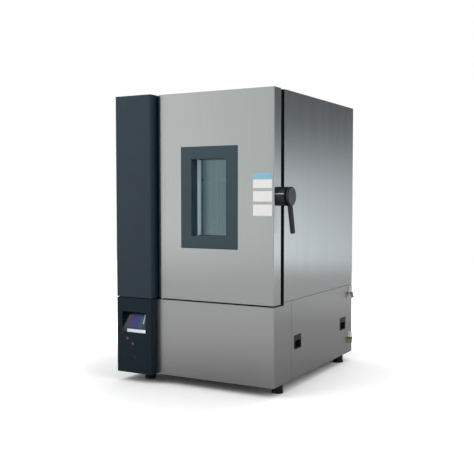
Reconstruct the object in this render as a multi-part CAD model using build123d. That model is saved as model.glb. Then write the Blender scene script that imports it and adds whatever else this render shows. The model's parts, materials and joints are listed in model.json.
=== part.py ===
"""Floor-standing environmental test chamber: insulated box with a window door, control column and
refrigeration compartment. Millimetres; X to the right, Y to the rear, Z up."""
import os
from math import cos, pi, radians, sin

from build123d import *

os.makedirs("parts", exist_ok=True)

# Overall cabinet, without feet, latch and column
cabinet_width = 1100.0
cabinet_depth = 1293.0
cabinet_height = 1760.0
foot_height = 60.0
machine_height = 475.0
sheet = 1.5
running = 0.3
over = 1.0

# Control column at the left of the door
column_width = 272.0
column_proud = 56.0
column_wall = 3.0
column_edge_radius = 8.0
column_seam = 5.0

# Door and its seal
door_thickness = 90.0
door_side_gap = 3.0
door_bottom_gap = 12.0
door_edge_radius = 7.0
door_hinge_radius = 35.0
gasket_depth = 22.0
gasket_width = 20.0
gasket_inset = 4.0
frame_depth = 23.0
door_plug_depth = 16.0
door_plug_margin = 40.0
door_plug_corner = 20.0
gasket_pin_gap = 6.0
gasket_top_gap = 12.0

# Window
window_width = 244.0
window_height = 470.0
window_border = 76.0
window_shift = -27.5
window_centre_height = 1180.0
window_proud = 6.0
window_lip = 4.0
window_corner = 5.0
window_edge = 3.0
window_inner_border = 26.0
window_inner_sheet = 4.0
window_inner_corner = 8.0
pane_setback = 62.0
pane_thickness = 5.0
pane_count = 3

# Seams of the side sheets
side_seam = 4.0
side_seam_step = 16.0
side_flange = 20.0
front_wrap = 246.0
service_length = 927.0
panel_gap = 2.0

# Insulated box
work_width = 600.0
wall_right = 108.5
wall_left = 110.0
wall_bottom = 127.0
wall_top = 138.5
wall_rear = 98.5
baffle_distance = 810.0
deck_thickness = 8.0
deck_drop = 2.0

# Hinges
hinge_inset = 30.0
hinge_back = 20.0
hinge_pin_radius = 7.0
pin_hole_gap = 1.0
pin_hole_lower = 8.0
pin_hole_upper = 20.0
hinge_plate = 8.0
hinge_half_width = 14.0
hinge_clearance = 2.0
pin_clearance = 0.05
hinge_block = 30.0
hinge_block_side = 2.5
hinge_block_front = 4.0
hinge_block_depth = 46.0
hinge_block_reach = 18.0
hinge_block_radius = 31.0
hinge_tail = 80.0
hinge_slot_depth = 12.0
hinge_slot_height = 40.0
hinge_foot = 60.0

# Latch on the door's right edge
latch_height = 1188.0
latch_back = 70.0
latch_radius = 56.0
latch_flange = 5.0
latch_wall = 6.0
cam_thickness = 7.0
cam_radius = 46.0
cam_track = 38.0
cam_play = 1.5
strike_pin_radius = 5.0
strike_arm = 5.0
strike_setback = 3.0
strike_foot = 34.0
strike_foot_half = 28.0
strike_web_half = 12.0
strike_arm_half = 10.0
latch_drum_start = 22.0
latch_drum_end = 55.0
lever_hub_length = 14.0
lever_hub_radius = 39.0
lever_drop = 8.0
lever_disc = 14.0
lever_radius = 11.0
lever_tip_radius = 10.0
lever_length = 218.0
lever_lean_back = 24.0
lever_lean_out = 12.0
latch_spindle_radius = 9.0
latch_edge = 3.0
latch_plate_thickness = 6.0
latch_plate_rise = 12.0
latch_plate_proud = 3.0
latch_plate_end = 6.0
latch_cut_reach = 80.0
latch_open_side = 8.0
latch_drum_floor = 2.0
lever_cut_reach = 60.0
lever_skin = 0.01
cam_mouth_lip = 3.0
cam_mouth_reach = 5.0

# Control recess and display in the lower column
recess_left = 43.0
recess_width = 182.0
recess_top = 392.0
recess_height = 132.0
recess_depth = 66.0
display_lift = 44.0
display_glass_width = 138.0
display_glass_height = 94.0
display_glass_thickness = 2.0
sill_height = 24.0
sill_setback = 1.0
sill_radius = 2.0
display_mouth = 4.0
display_shift = -5.0
button_radius = 9.0
button_height = 220.0
button_from_left = 85.0
button_edge = 1.5
key_radius = 10.0
key_grip = 4.0
key_grip_reach = 8.0
key_height = 189.0
key_from_left = 130.0
lock_radius = 12.0
lock_proud = 2.0
lock_slot = 3.0
tongue_width = 12.0
tongue_length = 34.0
tongue_thickness = 3.0
lock_height = 103.0
lock_from_left = 147.0
control_length = 24.0
control_proud = 4.0

# Feet
foot_radius = 35.0
foot_pad = 22.0
foot_stem_radius = 10.0
foot_nut_radius = 18.0
foot_nut_height = 10.0
foot_inset = 48.0
foot_from_left = 158.0
foot_front_setback = 150.0
foot_rear_setback = 143.0

# Pulls in the service panel
pull_width = 100.0
pull_height = 88.0
pull_depth = 34.0
pull_wall = 3.0
pull_rim = 4.0
pull_proud = 2.0
pull_grip = 30.0
pull_corner = 6.0
pull_from_front = 41.0
pull_from_rear = 13.0
pull_bottom = 182.0

# Fittings on the rear strip
fitting_setback = 52.0
fitting_heights = (440.0, 112.0)
fitting_body_radius = 17.0
fitting_body_reach = 20.0
fitting_body_height = 34.0
fitting_corner = 10.0
nipple_radius = 8.0
nipple_nut_radius = 13.0
nipple_nut_height = 10.0
nipple_length = 26.0
nipple_bore_radius = 5.5
nipple_elbow = 8.0
nipple_leans = (20.0, 0.0)

# Machine compartment
post_size = 40.0
tray_depth = 40.0
tray_sheet = 3.0
panel_return = 14.0
compressor_radius = 95.0
compressor_height = 290.0
compressor_dome = 34.0
compressor_lift = 18.0
compressor_seam = 4.0
compressor_seam_share = 0.55
compressor_plate = 6.0
compressor_plate_margin = 15.0
compressor_foot = 14.0
terminal_width = 70.0
terminal_reach = 40.0
terminal_height = 100.0
compressor_x = 250.0
compressor_y = 700.0
condenser_width = 460.0
condenser_height = 340.0
condenser_depth = 70.0
condenser_fins = 23
condenser_groove = 20.0
condenser_header = 12.0
fan_radius = 135.0
fan_blades = 5
fan_pitch = 32.0
fan_depth = 34.0
fan_blade = 3.0
fan_hub_radius = 32.0
fan_root_width = 40.0
fan_tip_width = 78.0
fan_tip_share = 0.6
fan_bore_end = 6.0
shroud_depth = 60.0
shroud_gap = 9.0
shroud_sheet = 3.0
fan_motor_radius = 42.0
fan_motor_length = 60.0
fan_motor_gap = 12.0
fan_shaft_radius = 6.0
fan_arm = 24.0
fan_arm_sheet = 4.0
fan_leg = 12.0
receiver_radius = 50.0
receiver_height = 220.0
receiver_edge = 16.0
receiver_x = -160.0
receiver_y = 620.0
pipe_radius = 6.0
pipe_rise = 60.0
louvre_count = 11
louvre_pitch = 30.0
louvre_height = 13.0
louvre_bottom = 90.0
louvre_margin = 10.0

# Air handling behind the baffle
blower_radius = 130.0
blower_width = 80.0
blower_blades = 14
blower_blade_angle = 35.0
blower_plate = 3.0
blower_hub_radius = 22.0
blower_hub_length = 34.0
blower_rear_gap = 24.0
blower_inner_share = 0.76
blower_shaft_radius = 9.0
motor_radius = 55.0
motor_length = 72.0
motor_ribs = 12
motor_rib_height = 5.0
motor_rib_width = 6.0
motor_flange = 4.0
motor_pocket_gap = 10.0
cover_margin = 25.0
cover_sheet = 3.0
cover_corner = 8.0
cover_slots = 5
cover_slot = 8.0
cover_slot_pitch = 20.0
cover_slot_margin = 35.0
shaft_tunnel_radius = 14.0
coil_height = 190.0
coil_depth = 110.0
coil_fins = 19
coil_side_gap = 30.0
coil_groove = 22.0
coil_end = 3.0
coil_end_rise = 10.0
coil_back_gap = 20.0
coil_gap_share = 0.6
heater_radius = 6.0
heater_margin = 12.0
heater_rods = 5
heater_pitch = 42.0
heater_plate = 3.0
heater_setback = 60.0
heater_side_gap = 70.0
pan_height = 50.0
pan_depth = 120.0
pan_sheet = 2.0
pan_back_gap = 10.0
pan_side_gap = 60.0
baffle_sheet = 2.0
slot_rows = 4
slot_columns = 7
slot_margin = 40.0
slot_share = 0.76
slot_pitch = 34.0
slot_height = 12.0
vent_count = 4
vent_top_gap = 58.0
vent_side_gap = 60.0
vent_blade_lap = 5.0
vent_pitch = 34.0
vent_height = 18.0
vent_reach = 16.0
vent_blade = 1.5

# Temperature probe in front of the baffle
probe_radius = 4.0
probe_length = 140.0
probe_stand = 20.0
probe_clip_lap = 2.0
probe_clip = 18.0
probe_side_gap = 90.0
probe_top_gap = 230.0

# Shelves
rail_width = 24.0
rail_end_gap = 20.0
bracket_reach = 16.0
rail_depth = 12.0
rail_setback = 110.0
shelf_heights = (900.0, 1290.0)
shelf_front_gap = 120.0
shelf_rear_gap = 70.0
shelf_bar = 10.0
shelf_wire = 5.0
shelf_wire_inset = 1.0
shelf_wires = 12
shelf_clearance = 3.0
bracket_height = 14.0

# Electrical panel in the left compartment
electrical_setback = 60.0
electrical_width = 270.0
electrical_bottom = 760.0
electrical_height = 800.0
electrical_plate = 3.0
rail_thickness = 8.0
rail_strip = 36.0
module_gap = 6.0
module_edge = 25.0
module_rows = ((80.0, 70.0, 5), (110.0, 90.0, 3), (150.0, 60.0, 2))

# Cable port in the left wall
port_radius = 25.0
port_wall = 3.0
port_height = 1010.0
port_setback = 520.0
port_flange_radius = 38.0
port_flange = 4.0
port_plug_head = 12.0
port_plug_grip = 8.0
port_plug_length = 55.0

# Derived levels and planes
left = -cabinet_width / 2
right = cabinet_width / 2
bottom = foot_height
top = foot_height + cabinet_height
machine_top = bottom + machine_height
door_bottom = machine_top + door_bottom_gap
side_lower_top = machine_top + side_seam_step
side_upper_bottom = side_lower_top + side_seam
deck_top = side_upper_bottom - deck_drop
column_right = left + column_width
door_left = column_right + door_side_gap
door_right = right
door_centre = (door_left + door_right) / 2
gasket_back = door_thickness + gasket_depth
body_front = gasket_back + frame_depth
rear = cabinet_depth
work_right = right - sheet - wall_right
work_left = work_right - work_width
box_left = work_left - wall_left
work_bottom = deck_top + wall_bottom
work_top = top - sheet - wall_top
liner_back = rear - sheet - wall_rear
work_centre = (work_left + work_right) / 2
heater_height = (heater_rods - 1) * heater_pitch + heater_margin * 2
air_gap = (work_top - work_bottom - pan_height - coil_height - heater_height - blower_radius * 2) / 4
coil_bottom = work_bottom + pan_height + air_gap
heater_bottom = coil_bottom + coil_height + air_gap + heater_margin
blower_height = work_top - air_gap - blower_radius
window_x = door_centre + window_shift
pin_x = door_left + hinge_inset
pin_y = hinge_back
latch_start = right
cam_start = latch_start + latch_flange + 1.0
arm_start = cam_start + cam_thickness + 2.0
column_split = machine_top + 9.0
tray_right = right - panel_return - running
tray_floor = bottom + tray_sheet
post_front = body_front + 1 + tray_sheet


def block(x0, x1, y0, y1, z0, z1):
    """Box between two corners."""
    return Pos((x0 + x1) / 2, (y0 + y1) / 2, (z0 + z1) / 2) * Box(x1 - x0, y1 - y0, z1 - z0)


def rod(x, y, z, radius, length, axis="Z"):
    """Cylinder that starts at a point and runs along one axis."""
    turn = {"X": Rot(0, 90, 0), "Y": Rot(-90, 0, 0), "Z": Rot(0, 0, 0)}[axis]
    low = (Align.CENTER, Align.CENTER, Align.MIN)
    return Pos(x, y, z) * turn * Cylinder(radius, length, align=low)


def group(pieces):
    """Separate solids that share one node."""
    return Compound([solid for piece in pieces for solid in piece.solids()])


def tube(points, radius):
    """Pipe with mitred corners through a list of points."""
    path = Polyline(*points)
    return sweep(Plane(origin=path @ 0, z_dir=path % 0) * Circle(radius), path=path,
                 transition=Transition.RIGHT)


def levelling_feet():
    """Round pads on threaded stems; the front left foot stands forward, under the column."""
    places = [
        (right - foot_inset, foot_front_setback),
        (left + foot_from_left, foot_front_setback - column_proud),
        (right - foot_inset, rear - foot_rear_setback),
        (left + foot_inset, rear - foot_rear_setback),
    ]
    feet = []
    for x, y in places:
        pad = rod(x, y, 0, foot_radius, foot_pad)
        pad = chamfer(pad.edges().group_by(Axis.Z)[-1], foot_pad / 4)
        stem = rod(x, y, foot_pad, foot_stem_radius, foot_height - foot_pad)
        hexagon = RegularPolygon(foot_nut_radius, 6)
        nut = Pos(x, y, foot_height - foot_nut_height) * extrude(hexagon, foot_nut_height)
        feet.append(pad + stem + nut)
    return group(feet)


def base_tray():
    """Folded tray that carries the machines and takes the feet."""
    rim = bottom + tray_depth
    floor = tray_floor
    outer = tray_outline(0, bottom, rim)
    return outer - tray_outline(tray_sheet, floor, rim + 1)


def tray_outline(inset, z0, z1):
    """Tray footprint: the body, the strip under the door and the strip under the column."""
    front = body_front + 1
    column_front = column_wall + column_edge_radius - column_proud
    main = block(left + sheet + inset, tray_right - inset, front + inset, rear - sheet - inset, z0, z1)
    under_column = block(left + column_wall + inset, column_right - column_wall - inset,
                         column_front + inset, front + inset, z0, z1)
    under_door = block(column_right + panel_gap + sheet + inset, tray_right - inset, sheet + inset,
                       front + inset, z0, z1)
    return main + under_column + under_door


def corner_posts():
    """Square posts between the tray and the deck."""
    low = tray_floor
    high = deck_top - deck_thickness
    rear_y = rear - sheet - tray_sheet - post_size
    middle_x = column_right + post_size / 4
    posts = []
    for x in (left + sheet + tray_sheet, middle_x, tray_right - tray_sheet - post_size):
        for y in (post_front, rear_y):
            solid = block(x, x + post_size, y, y + post_size, low, high)
            wall = tray_sheet
            bore = block(x + wall, x + post_size - wall, y + wall, y + post_size - wall, low, high)
            posts.append(solid - bore)
    return group(posts)


def machine_deck():
    """Plate that carries the insulated box, with a down-turned front edge."""
    return block(left + sheet, tray_right, body_front, rear - sheet, deck_top - deck_thickness, deck_top)


def lower_front_panel():
    """Sheet below the door that wraps round the right corner."""
    x0 = column_right + panel_gap
    outer = block(x0, right, 0, front_wrap - panel_gap, bottom, side_lower_top)
    edge = outer.edges().filter_by(Axis.Z).group_by(Axis.Y)[0].sort_by(Axis.X)[-1]
    outer = fillet(edge, door_edge_radius)
    inner = block(x0 - over, right - sheet, sheet, front_wrap, bottom - over, machine_top - sheet)
    inner_edge = inner.edges().filter_by(Axis.Z).group_by(Axis.Y)[0].sort_by(Axis.X)[-1]
    inner = fillet(inner_edge, door_edge_radius - sheet)
    under_door = block(x0 - over, right + over, -over, body_front, machine_top, side_lower_top + over)
    behind = block(x0 - over, right - sheet, body_front - sheet, front_wrap, bottom - over,
                   side_lower_top + over)
    hinge_slot = block(door_left, pin_x + hinge_half_width + hinge_clearance, body_front - hinge_slot_depth,
                       body_front, machine_top - hinge_slot_height, machine_top + over)
    return outer - inner - under_door - behind - hinge_slot


def pull_places():
    """Lower front corner of each pull in the service panel."""
    first = front_wrap + pull_from_front
    second = front_wrap + service_length - pull_from_rear - pull_width
    return (first, second)


def right_service_panel():
    """Lift-off side sheet with two openings for the pulls."""
    y1 = front_wrap + service_length
    panel = block(right - sheet, right, front_wrap, y1, bottom, side_lower_top)
    returns = block(right - panel_return, right, front_wrap, y1, bottom, side_lower_top)
    returns -= block(right - panel_return - over, right - sheet, front_wrap + sheet, y1 - sheet,
                     bottom + sheet,
                     side_lower_top - sheet)
    panel += returns
    for y in pull_places():
        low = bottom + pull_bottom
        panel -= block(right - sheet, right, *pull_inside(y, low, 0))
    return panel


def pull_inside(y, low, wall):
    """Y and Z limits of a pull inside its rim, less a wall."""
    inset = pull_rim + wall
    return y + inset, y + pull_width - inset, low + inset, low + pull_height - inset


def panel_pulls():
    """Black finger cups: a rim outside the sheet and a deep pocket behind it."""
    cups = []
    for y in pull_places():
        low = bottom + pull_bottom
        rim = block(right, right + pull_proud, y, y + pull_width, low, low + pull_height)
        rim = fillet(rim.edges().filter_by(Axis.X), pull_corner)
        cup = block(right - pull_depth, right, *pull_inside(y, low, 0))
        hollow = block(right - pull_depth + pull_wall, right + pull_proud + over,
                       *pull_inside(y, low, pull_wall))
        y0, y1, z0, z1 = pull_inside(y, low, 0)
        grip = block(right, right + pull_proud, y0, y1, z1 - pull_grip, z1)
        cups.append((rim + cup - hollow) + grip)
    return group(cups)


def lower_rear_wrap():
    """Rear sheet of the machine compartment with its side strips and louvres."""
    y0 = front_wrap + service_length + panel_gap
    outer = block(left, right, y0, rear, bottom, side_lower_top)
    inner = block(left + sheet, right - sheet, y0 - over, rear - sheet, bottom - over,
                  side_lower_top + over)
    wrap = outer - inner
    half = condenser_width / 2 - louvre_margin
    for row in range(louvre_count):
        z = bottom + louvre_bottom + row * louvre_pitch
        wrap -= block(work_centre - half, work_centre + half, rear - sheet, rear, z, z + louvre_height)
    return wrap


def left_lower_panel():
    """Plain left side of the machine compartment."""
    y1 = front_wrap + service_length
    return block(left, left + sheet, body_front + panel_gap, y1, bottom, side_lower_top)


def column_shell(z0, z1, floor):
    """Open-backed cover with rounded front edges; floor is the thickness of its lower wall."""
    outer = block(left, column_right, -column_proud, body_front, z0, z1)
    front_edges = outer.edges().filter_by(Axis.Z).group_by(Axis.Y)[0]
    outer = fillet(front_edges, column_edge_radius)
    inner = block(left + column_wall, column_right - column_wall, -column_proud + column_wall,
                  body_front + over, z0 + floor - (0 if floor else over), z1 - column_wall)
    inner = fillet(inner.edges().filter_by(Axis.Z).group_by(Axis.Y)[0], column_edge_radius - column_wall)
    return outer - inner


def column_upper_cover():
    """Tall plain cover beside the door."""
    return column_shell(column_split + column_seam / 2, top, column_wall)


def recess_box(grow):
    """Space of the control recess, or of its walls when grown."""
    x0 = left + recess_left
    z1 = bottom + recess_top
    front = -column_proud
    return block(x0 - grow, x0 + recess_width + grow, front - (0 if grow else over),
                 front + recess_depth + grow,
                 z1 - recess_height - grow, z1 + grow)


def control_hole(x_from_left, height, radius):
    """Round hole through the cover's front wall."""
    return rod(left + x_from_left, -column_proud - over, bottom + height, radius + running,
               column_wall + 2 * over, "Y")


def column_lower_cover():
    """Cover with the control recess and the holes of the button, key and lock."""
    cover = column_shell(bottom, column_split - column_seam / 2, 0)
    cover += recess_box(column_wall)
    cover -= recess_box(0)
    cover -= control_hole(button_from_left, button_height, button_radius)
    cover -= control_hole(key_from_left, key_height, key_radius)
    cover -= control_hole(lock_from_left, lock_height, lock_radius)
    return cover


def display_plane():
    """Tilted plane of the display, with its lower edge near the recess mouth."""
    low = bottom + recess_top - recess_height + sill_height
    high = bottom + recess_top
    tilt = Vector(0, display_lift, high - low)
    middle = Vector(left + recess_left + recess_width / 2, display_lift / 2 + display_mouth - column_proud,
                    (low + high) / 2)
    middle += tilt.normalized() * display_shift
    return Plane(origin=middle, x_dir=(1, 0, 0), z_dir=Vector(1, 0, 0).cross(tilt))


def display_unit():
    """Bezel plate that leans back in the recess, with its sill."""
    z0 = bottom + recess_top - recess_height
    x0 = left + recess_left + running
    x1 = left + recess_left + recess_width - running
    front = -column_proud
    low = front + display_mouth
    back = front + recess_depth - running
    high = z0 + recess_height - running
    points = [(low, z0 + sill_height), (low + display_lift, high), (back, high), (back, z0 + sill_height)]
    profile = Plane.YZ * make_face(Polyline(*points, close=True))
    body = Pos(x0, 0, 0) * extrude(profile, x1 - x0)
    glass = display_plane() * Box(display_glass_width, display_glass_height, display_glass_thickness * 2)
    sill = block(x0, x1, front + sill_setback, back, z0, z0 + sill_height)
    sill = chamfer(sill.edges().filter_by(Axis.X).group_by(Axis.Y)[0], sill_radius)
    return (body - glass) + sill


def display_glass():
    """Glass of the display, flush with its bezel."""
    slab = Box(display_glass_width, display_glass_height, display_glass_thickness)
    return display_plane() * Pos(0, 0, -display_glass_thickness / 2) * slab


def power_button():
    """Round push button through the cover."""
    y0 = -column_proud - control_proud
    cap = rod(left + button_from_left, y0, bottom + button_height, button_radius, control_length, "Y")
    return chamfer(cap.edges().group_by(Axis.Y)[0], button_edge)


def key_switch():
    """Round key switch with a raised grip."""
    x = left + key_from_left
    z = bottom + key_height
    y0 = -column_proud - control_proud
    barrel = rod(x, y0, z, key_radius, control_length, "Y")
    half = key_grip / 2
    grip = block(x - half, x + half, y0 - key_grip_reach, y0, z - key_radius + half, z + key_radius - half)
    return barrel + grip


def cover_lock():
    """Quarter-turn lock with a slot and a tongue behind the cover."""
    x = left + lock_from_left
    z = bottom + lock_height
    y0 = -column_proud - lock_proud
    y1 = y0 + control_length
    half = tongue_width / 2
    barrel = rod(x, y0, z, lock_radius, control_length, "Y")
    slot = block(x - lock_radius + lock_slot, x + lock_radius - lock_slot, y0, y0 + lock_slot,
                 z - lock_slot / 2,
                 z + lock_slot / 2)
    tongue = block(x - half, x + half, y1, y1 + tongue_thickness, z - half, z + tongue_length)
    return barrel - slot + tongue


def side_panel(x0, x1, inward):
    """Upper side sheet with a flange turned in along its front edge."""
    panel = block(x0, x1, body_front, rear, side_upper_bottom, top - sheet)
    flange_end = x0 + inward if inward > 0 else x1 + inward
    low_x, high_x = min(x0, flange_end), max(x1, flange_end)
    flange = block(low_x, high_x, body_front, body_front + sheet, side_upper_bottom, top - sheet)
    return panel + flange


def right_side_panel():
    return side_panel(right - sheet, right, -side_flange)


def left_side_panel():
    port = rod(left - over, port_setback, port_height, port_radius + port_wall, sheet + 2 * over, "X")
    return side_panel(left, left + sheet, side_flange) - port


def top_panel():
    """Top sheet over the whole cabinet behind the door."""
    return block(left, right, body_front, rear, top - sheet, top)


def rear_panel():
    """Rear sheet with a round opening at the blower motor."""
    panel = block(left + sheet, right - sheet, rear - sheet, rear, side_upper_bottom, top - sheet)
    opening = motor_radius + motor_pocket_gap
    return panel - rod(work_centre, rear - sheet - over, blower_height, opening, sheet + 2 * over, "Y")


def motor_cover():
    """Louvred cap over the motor opening."""
    side = motor_radius + cover_margin
    plate = block(work_centre - side, work_centre + side, rear, rear + cover_sheet, blower_height - side,
                  blower_height + side)
    plate = fillet(plate.edges().filter_by(Axis.Y), cover_corner)
    half = side - cover_slot_margin
    for row in range(cover_slots):
        z = blower_height + (row - (cover_slots - 1) / 2) * cover_slot_pitch
        plate -= block(work_centre - half, work_centre + half, rear, rear + cover_sheet, z - cover_slot / 2,
                       z + cover_slot / 2)
    return plate


def insulation():
    """Foamed walls round the liner, with a motor pocket and the cable port."""
    x1 = right - sheet
    y0 = body_front + sheet
    y1 = rear - sheet
    z1 = top - sheet
    inner_left = work_left - sheet
    inner_right = work_right + sheet
    floor_top = work_bottom - sheet
    ceiling = work_top + sheet
    pocket = rod(work_centre, rear - sheet - motor_length - motor_flange, blower_height,
                 motor_radius + motor_pocket_gap, motor_length + motor_flange + over, "Y")
    tunnel = rod(work_centre, liner_back - over, blower_height, shaft_tunnel_radius, wall_rear, "Y")
    port = rod(box_left - over, port_setback, port_height, port_radius + port_wall,
               wall_left + 2 * over, "X")
    return group([
        block(box_left, x1, y0, y1, deck_top, floor_top),
        block(box_left, x1, y0, y1, ceiling, z1) - hinge_pocket(),
        block(box_left, inner_left, y0, y1, floor_top, ceiling) - port,
        block(inner_right, x1, y0, y1, floor_top, ceiling),
        block(inner_left, inner_right, liner_back, y1, floor_top, ceiling) - pocket - tunnel,
    ])


def hinge_pocket():
    """Space under the top sheet for the tail of the upper hinge bracket."""
    z1 = top - sheet
    return block(pin_x - hinge_half_width, pin_x + hinge_half_width, body_front, body_front + hinge_tail,
                 z1 - hinge_plate, z1)


def inner_liner():
    """Stainless work space, open at the front."""
    outer = block(work_left - sheet, work_right + sheet, body_front, liner_back,
                  work_bottom - sheet, work_top + sheet)
    inner = block(work_left, work_right, body_front - over, liner_back - sheet, work_bottom, work_top)
    tunnel = rod(work_centre, liner_back - 3, blower_height, shaft_tunnel_radius, 5, "Y")
    port = rod(work_left - 3, port_setback, port_height, port_radius + port_wall, 5, "X")
    return outer - inner - tunnel - port


def door_frame():
    """Dark frame that the door closes against."""
    outer = block(door_left + gasket_inset, right - gasket_inset, gasket_back, body_front,
                  door_bottom, top - gasket_inset)
    opening = block(work_left, work_right, gasket_back - over, body_front + over, work_bottom, work_top)
    notch = block(door_left, pin_x + hinge_half_width + hinge_clearance, gasket_back - over,
                  body_front + over,
                  top - sheet - hinge_plate - hinge_clearance, top)
    return outer - opening - notch


def hinge_brackets():
    """Pivot plates above and below the door, each with its upright pin."""
    x0 = pin_x - hinge_half_width
    x1 = pin_x + hinge_half_width
    lower_z = machine_top + hinge_clearance
    lower = block(x0, x1, pin_y, body_front, lower_z, lower_z + hinge_plate)
    lower += rod(pin_x, pin_y, lower_z, hinge_half_width, hinge_plate)
    lower += block(x0, x1, post_front - hinge_plate, post_front, machine_top - hinge_foot,
                   lower_z + hinge_plate)
    lower += rod(pin_x, pin_y, lower_z + hinge_plate, hinge_pin_radius, hinge_block + over)
    upper_z = top - sheet - hinge_plate
    upper = block(x0, x1, pin_y, body_front + hinge_tail, upper_z, upper_z + hinge_plate)
    upper += rod(pin_x, pin_y, upper_z, hinge_half_width, hinge_plate)
    upper += rod(pin_x, pin_y, upper_z - hinge_block, hinge_pin_radius, hinge_block)
    return group([lower, upper])


def door_recess():
    """Space above the door for the upper hinge plate, hidden behind the front sheet."""
    reach = hinge_half_width + hinge_clearance
    z0 = top - sheet - hinge_plate - hinge_clearance
    return block(door_left - over, pin_x + reach, sheet + over, door_thickness + over, z0, top + over)


def hinge_block_places():
    """Lower face of each steel block that holds a pin."""
    upper_face = top - sheet - hinge_plate - hinge_clearance
    return (door_bottom + sheet, upper_face - sheet - hinge_block)


def hinge_blocks():
    """Steel blocks foamed into the door's hinge corners, bored for the pins."""
    blocks = []
    for z in hinge_block_places():
        solid = block(door_left + sheet + hinge_block_side, pin_x + hinge_block_reach, hinge_block_front,
                      hinge_block_front + hinge_block_depth, z, z + hinge_block)
        corner = solid.edges().filter_by(Axis.Z).group_by(Axis.Y)[0].sort_by(Axis.X)[0]
        solid = fillet(corner, hinge_block_radius)
        bore = rod(pin_x, pin_y, z - over, hinge_pin_radius + pin_clearance, hinge_block + 2 * over)
        blocks.append(solid - bore)
    return group(blocks)


def pin_holes():
    """Clearance holes for both pins through the door's edges."""
    lower = rod(pin_x, pin_y, door_bottom - over, hinge_pin_radius + pin_hole_gap, pin_hole_lower)
    upper = rod(pin_x, pin_y, top - pin_hole_upper, hinge_pin_radius + pin_hole_gap,
                pin_hole_upper + over)
    return lower + upper


def window_sleeve(grow):
    """Through space of the window sleeve."""
    half_w = window_width / 2 + grow
    half_h = window_height / 2 + grow
    return block(window_x - half_w, window_x + half_w, -20, gasket_back + 20,
                 window_centre_height - half_h, window_centre_height + half_h)


def door_outline(inset, y0, y1):
    """Door block with a large radius on the hinge side and a small one on the latch side."""
    solid = block(door_left + inset, door_right - inset, y0, y1, door_bottom + inset, top - inset)
    edges = solid.edges().filter_by(Axis.Z).group_by(Axis.Y)[0].sort_by(Axis.X)
    solid = fillet(edges[0], door_hinge_radius - inset)
    edge = solid.edges().filter_by(Axis.Z).group_by(Axis.Y)[0].sort_by(Axis.X)[-1]
    return fillet(edge, door_edge_radius - inset)


def door_skin():
    """Folded outer sheet of the door."""
    shell = door_outline(0, 0, door_thickness) - door_outline(sheet, sheet, door_thickness + 1)
    recess = door_recess()
    lining = block(door_left, pin_x + hinge_half_width + hinge_clearance + sheet, sheet, door_thickness,
                   top - sheet * 2 - hinge_plate - hinge_clearance, top)
    shell += lining & door_outline(0, 0, door_thickness)
    return shell - recess - window_sleeve(window_lip) - pin_holes()


def door_plug(y0, y1, inset):
    """Raised panel on the inside of the door."""
    m = door_plug_margin + inset
    plug = block(work_left + m, work_right - m, y0, y1, work_bottom + m, work_top - m)
    return fillet(plug.edges().filter_by(Axis.Y), door_plug_corner - inset)


def door_core():
    """Insulation of the door, filling its skin and the raised panel."""
    core = door_outline(sheet, sheet, door_thickness - sheet)
    core += door_plug(door_thickness - gasket_inset, door_thickness + door_plug_depth - sheet, sheet)
    cut = block(door_left - over, pin_x + hinge_half_width + hinge_clearance + sheet, 0,
                door_thickness + over,
                top - sheet * 2 - hinge_plate - hinge_clearance, top + over)
    core -= cut
    for z in hinge_block_places():
        core -= block(door_left, pin_x + hinge_block_reach, 0, hinge_block_front + hinge_block_depth, z,
                      z + hinge_block)
    return core - window_sleeve(window_lip) - pin_holes()


def door_liner():
    """Inner sheet of the door with its raised panel."""
    x0 = door_left + sheet
    x1 = door_right - sheet
    flat = block(x0, x1, door_thickness - sheet, door_thickness, door_bottom + sheet, top - sheet)
    solid = flat + door_plug(door_thickness - sheet, door_thickness + door_plug_depth, 0)
    hollow = door_plug(door_thickness - sheet - 1, door_thickness + door_plug_depth - sheet, sheet)
    notch = block(x0 - over, pin_x + hinge_half_width + hinge_clearance + sheet, 0, door_thickness + over,
                  top - sheet * 2 - hinge_plate - hinge_clearance, top + over)
    return solid - hollow - notch - window_sleeve(window_lip)


def window_frame():
    """Front frame with a rounded rim and the sleeve that lines the window."""
    half_w = window_width / 2
    half_h = window_height / 2
    rim = block(window_x - half_w - window_border, window_x + half_w + window_border, -window_proud, 0,
                window_centre_height - half_h - window_border,
                window_centre_height + half_h + window_border)
    rim = fillet(rim.edges().filter_by(Axis.Y), window_corner)
    rim = fillet(rim.edges().group_by(Axis.Y)[0], window_edge)
    sleeve = window_sleeve(window_lip) & block(left, right, 0, door_thickness + door_plug_depth, 0, top)
    opening = window_sleeve(0)
    return rim + sleeve - opening


def window_inner_frame():
    """Frame round the window on the inside of the door."""
    half_w = window_width / 2 + window_inner_border
    half_h = window_height / 2 + window_inner_border
    y0 = door_thickness + door_plug_depth
    ring = block(window_x - half_w, window_x + half_w, y0, y0 + window_inner_sheet,
                 window_centre_height - half_h, window_centre_height + half_h)
    ring = fillet(ring.edges().filter_by(Axis.Y), window_inner_corner)
    return ring - window_sleeve(0)


def window_panes():
    """Parallel panes with air spaces between them."""
    last = door_thickness + door_plug_depth - pane_thickness
    step = (last - pane_setback) / (pane_count - 1)
    space = window_sleeve(0)
    panes = []
    for index in range(pane_count):
        y = pane_setback + index * step
        panes.append(space & block(left, right, y, y + pane_thickness, 0, top))
    return group(panes)


def door_gasket():
    """Seal ring; its hinge side stands in from the pins."""
    x0 = pin_x + gasket_pin_gap
    x1 = door_right - gasket_inset
    z0 = door_bottom + gasket_inset
    z1 = top - gasket_inset - gasket_top_gap
    w = gasket_width
    ring = block(x0, x1, door_thickness, gasket_back - running, z0, z1)
    return ring - block(x0 + w, x1 - w, door_thickness - over, gasket_back + over, z0 + w, z1 - w)


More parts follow.
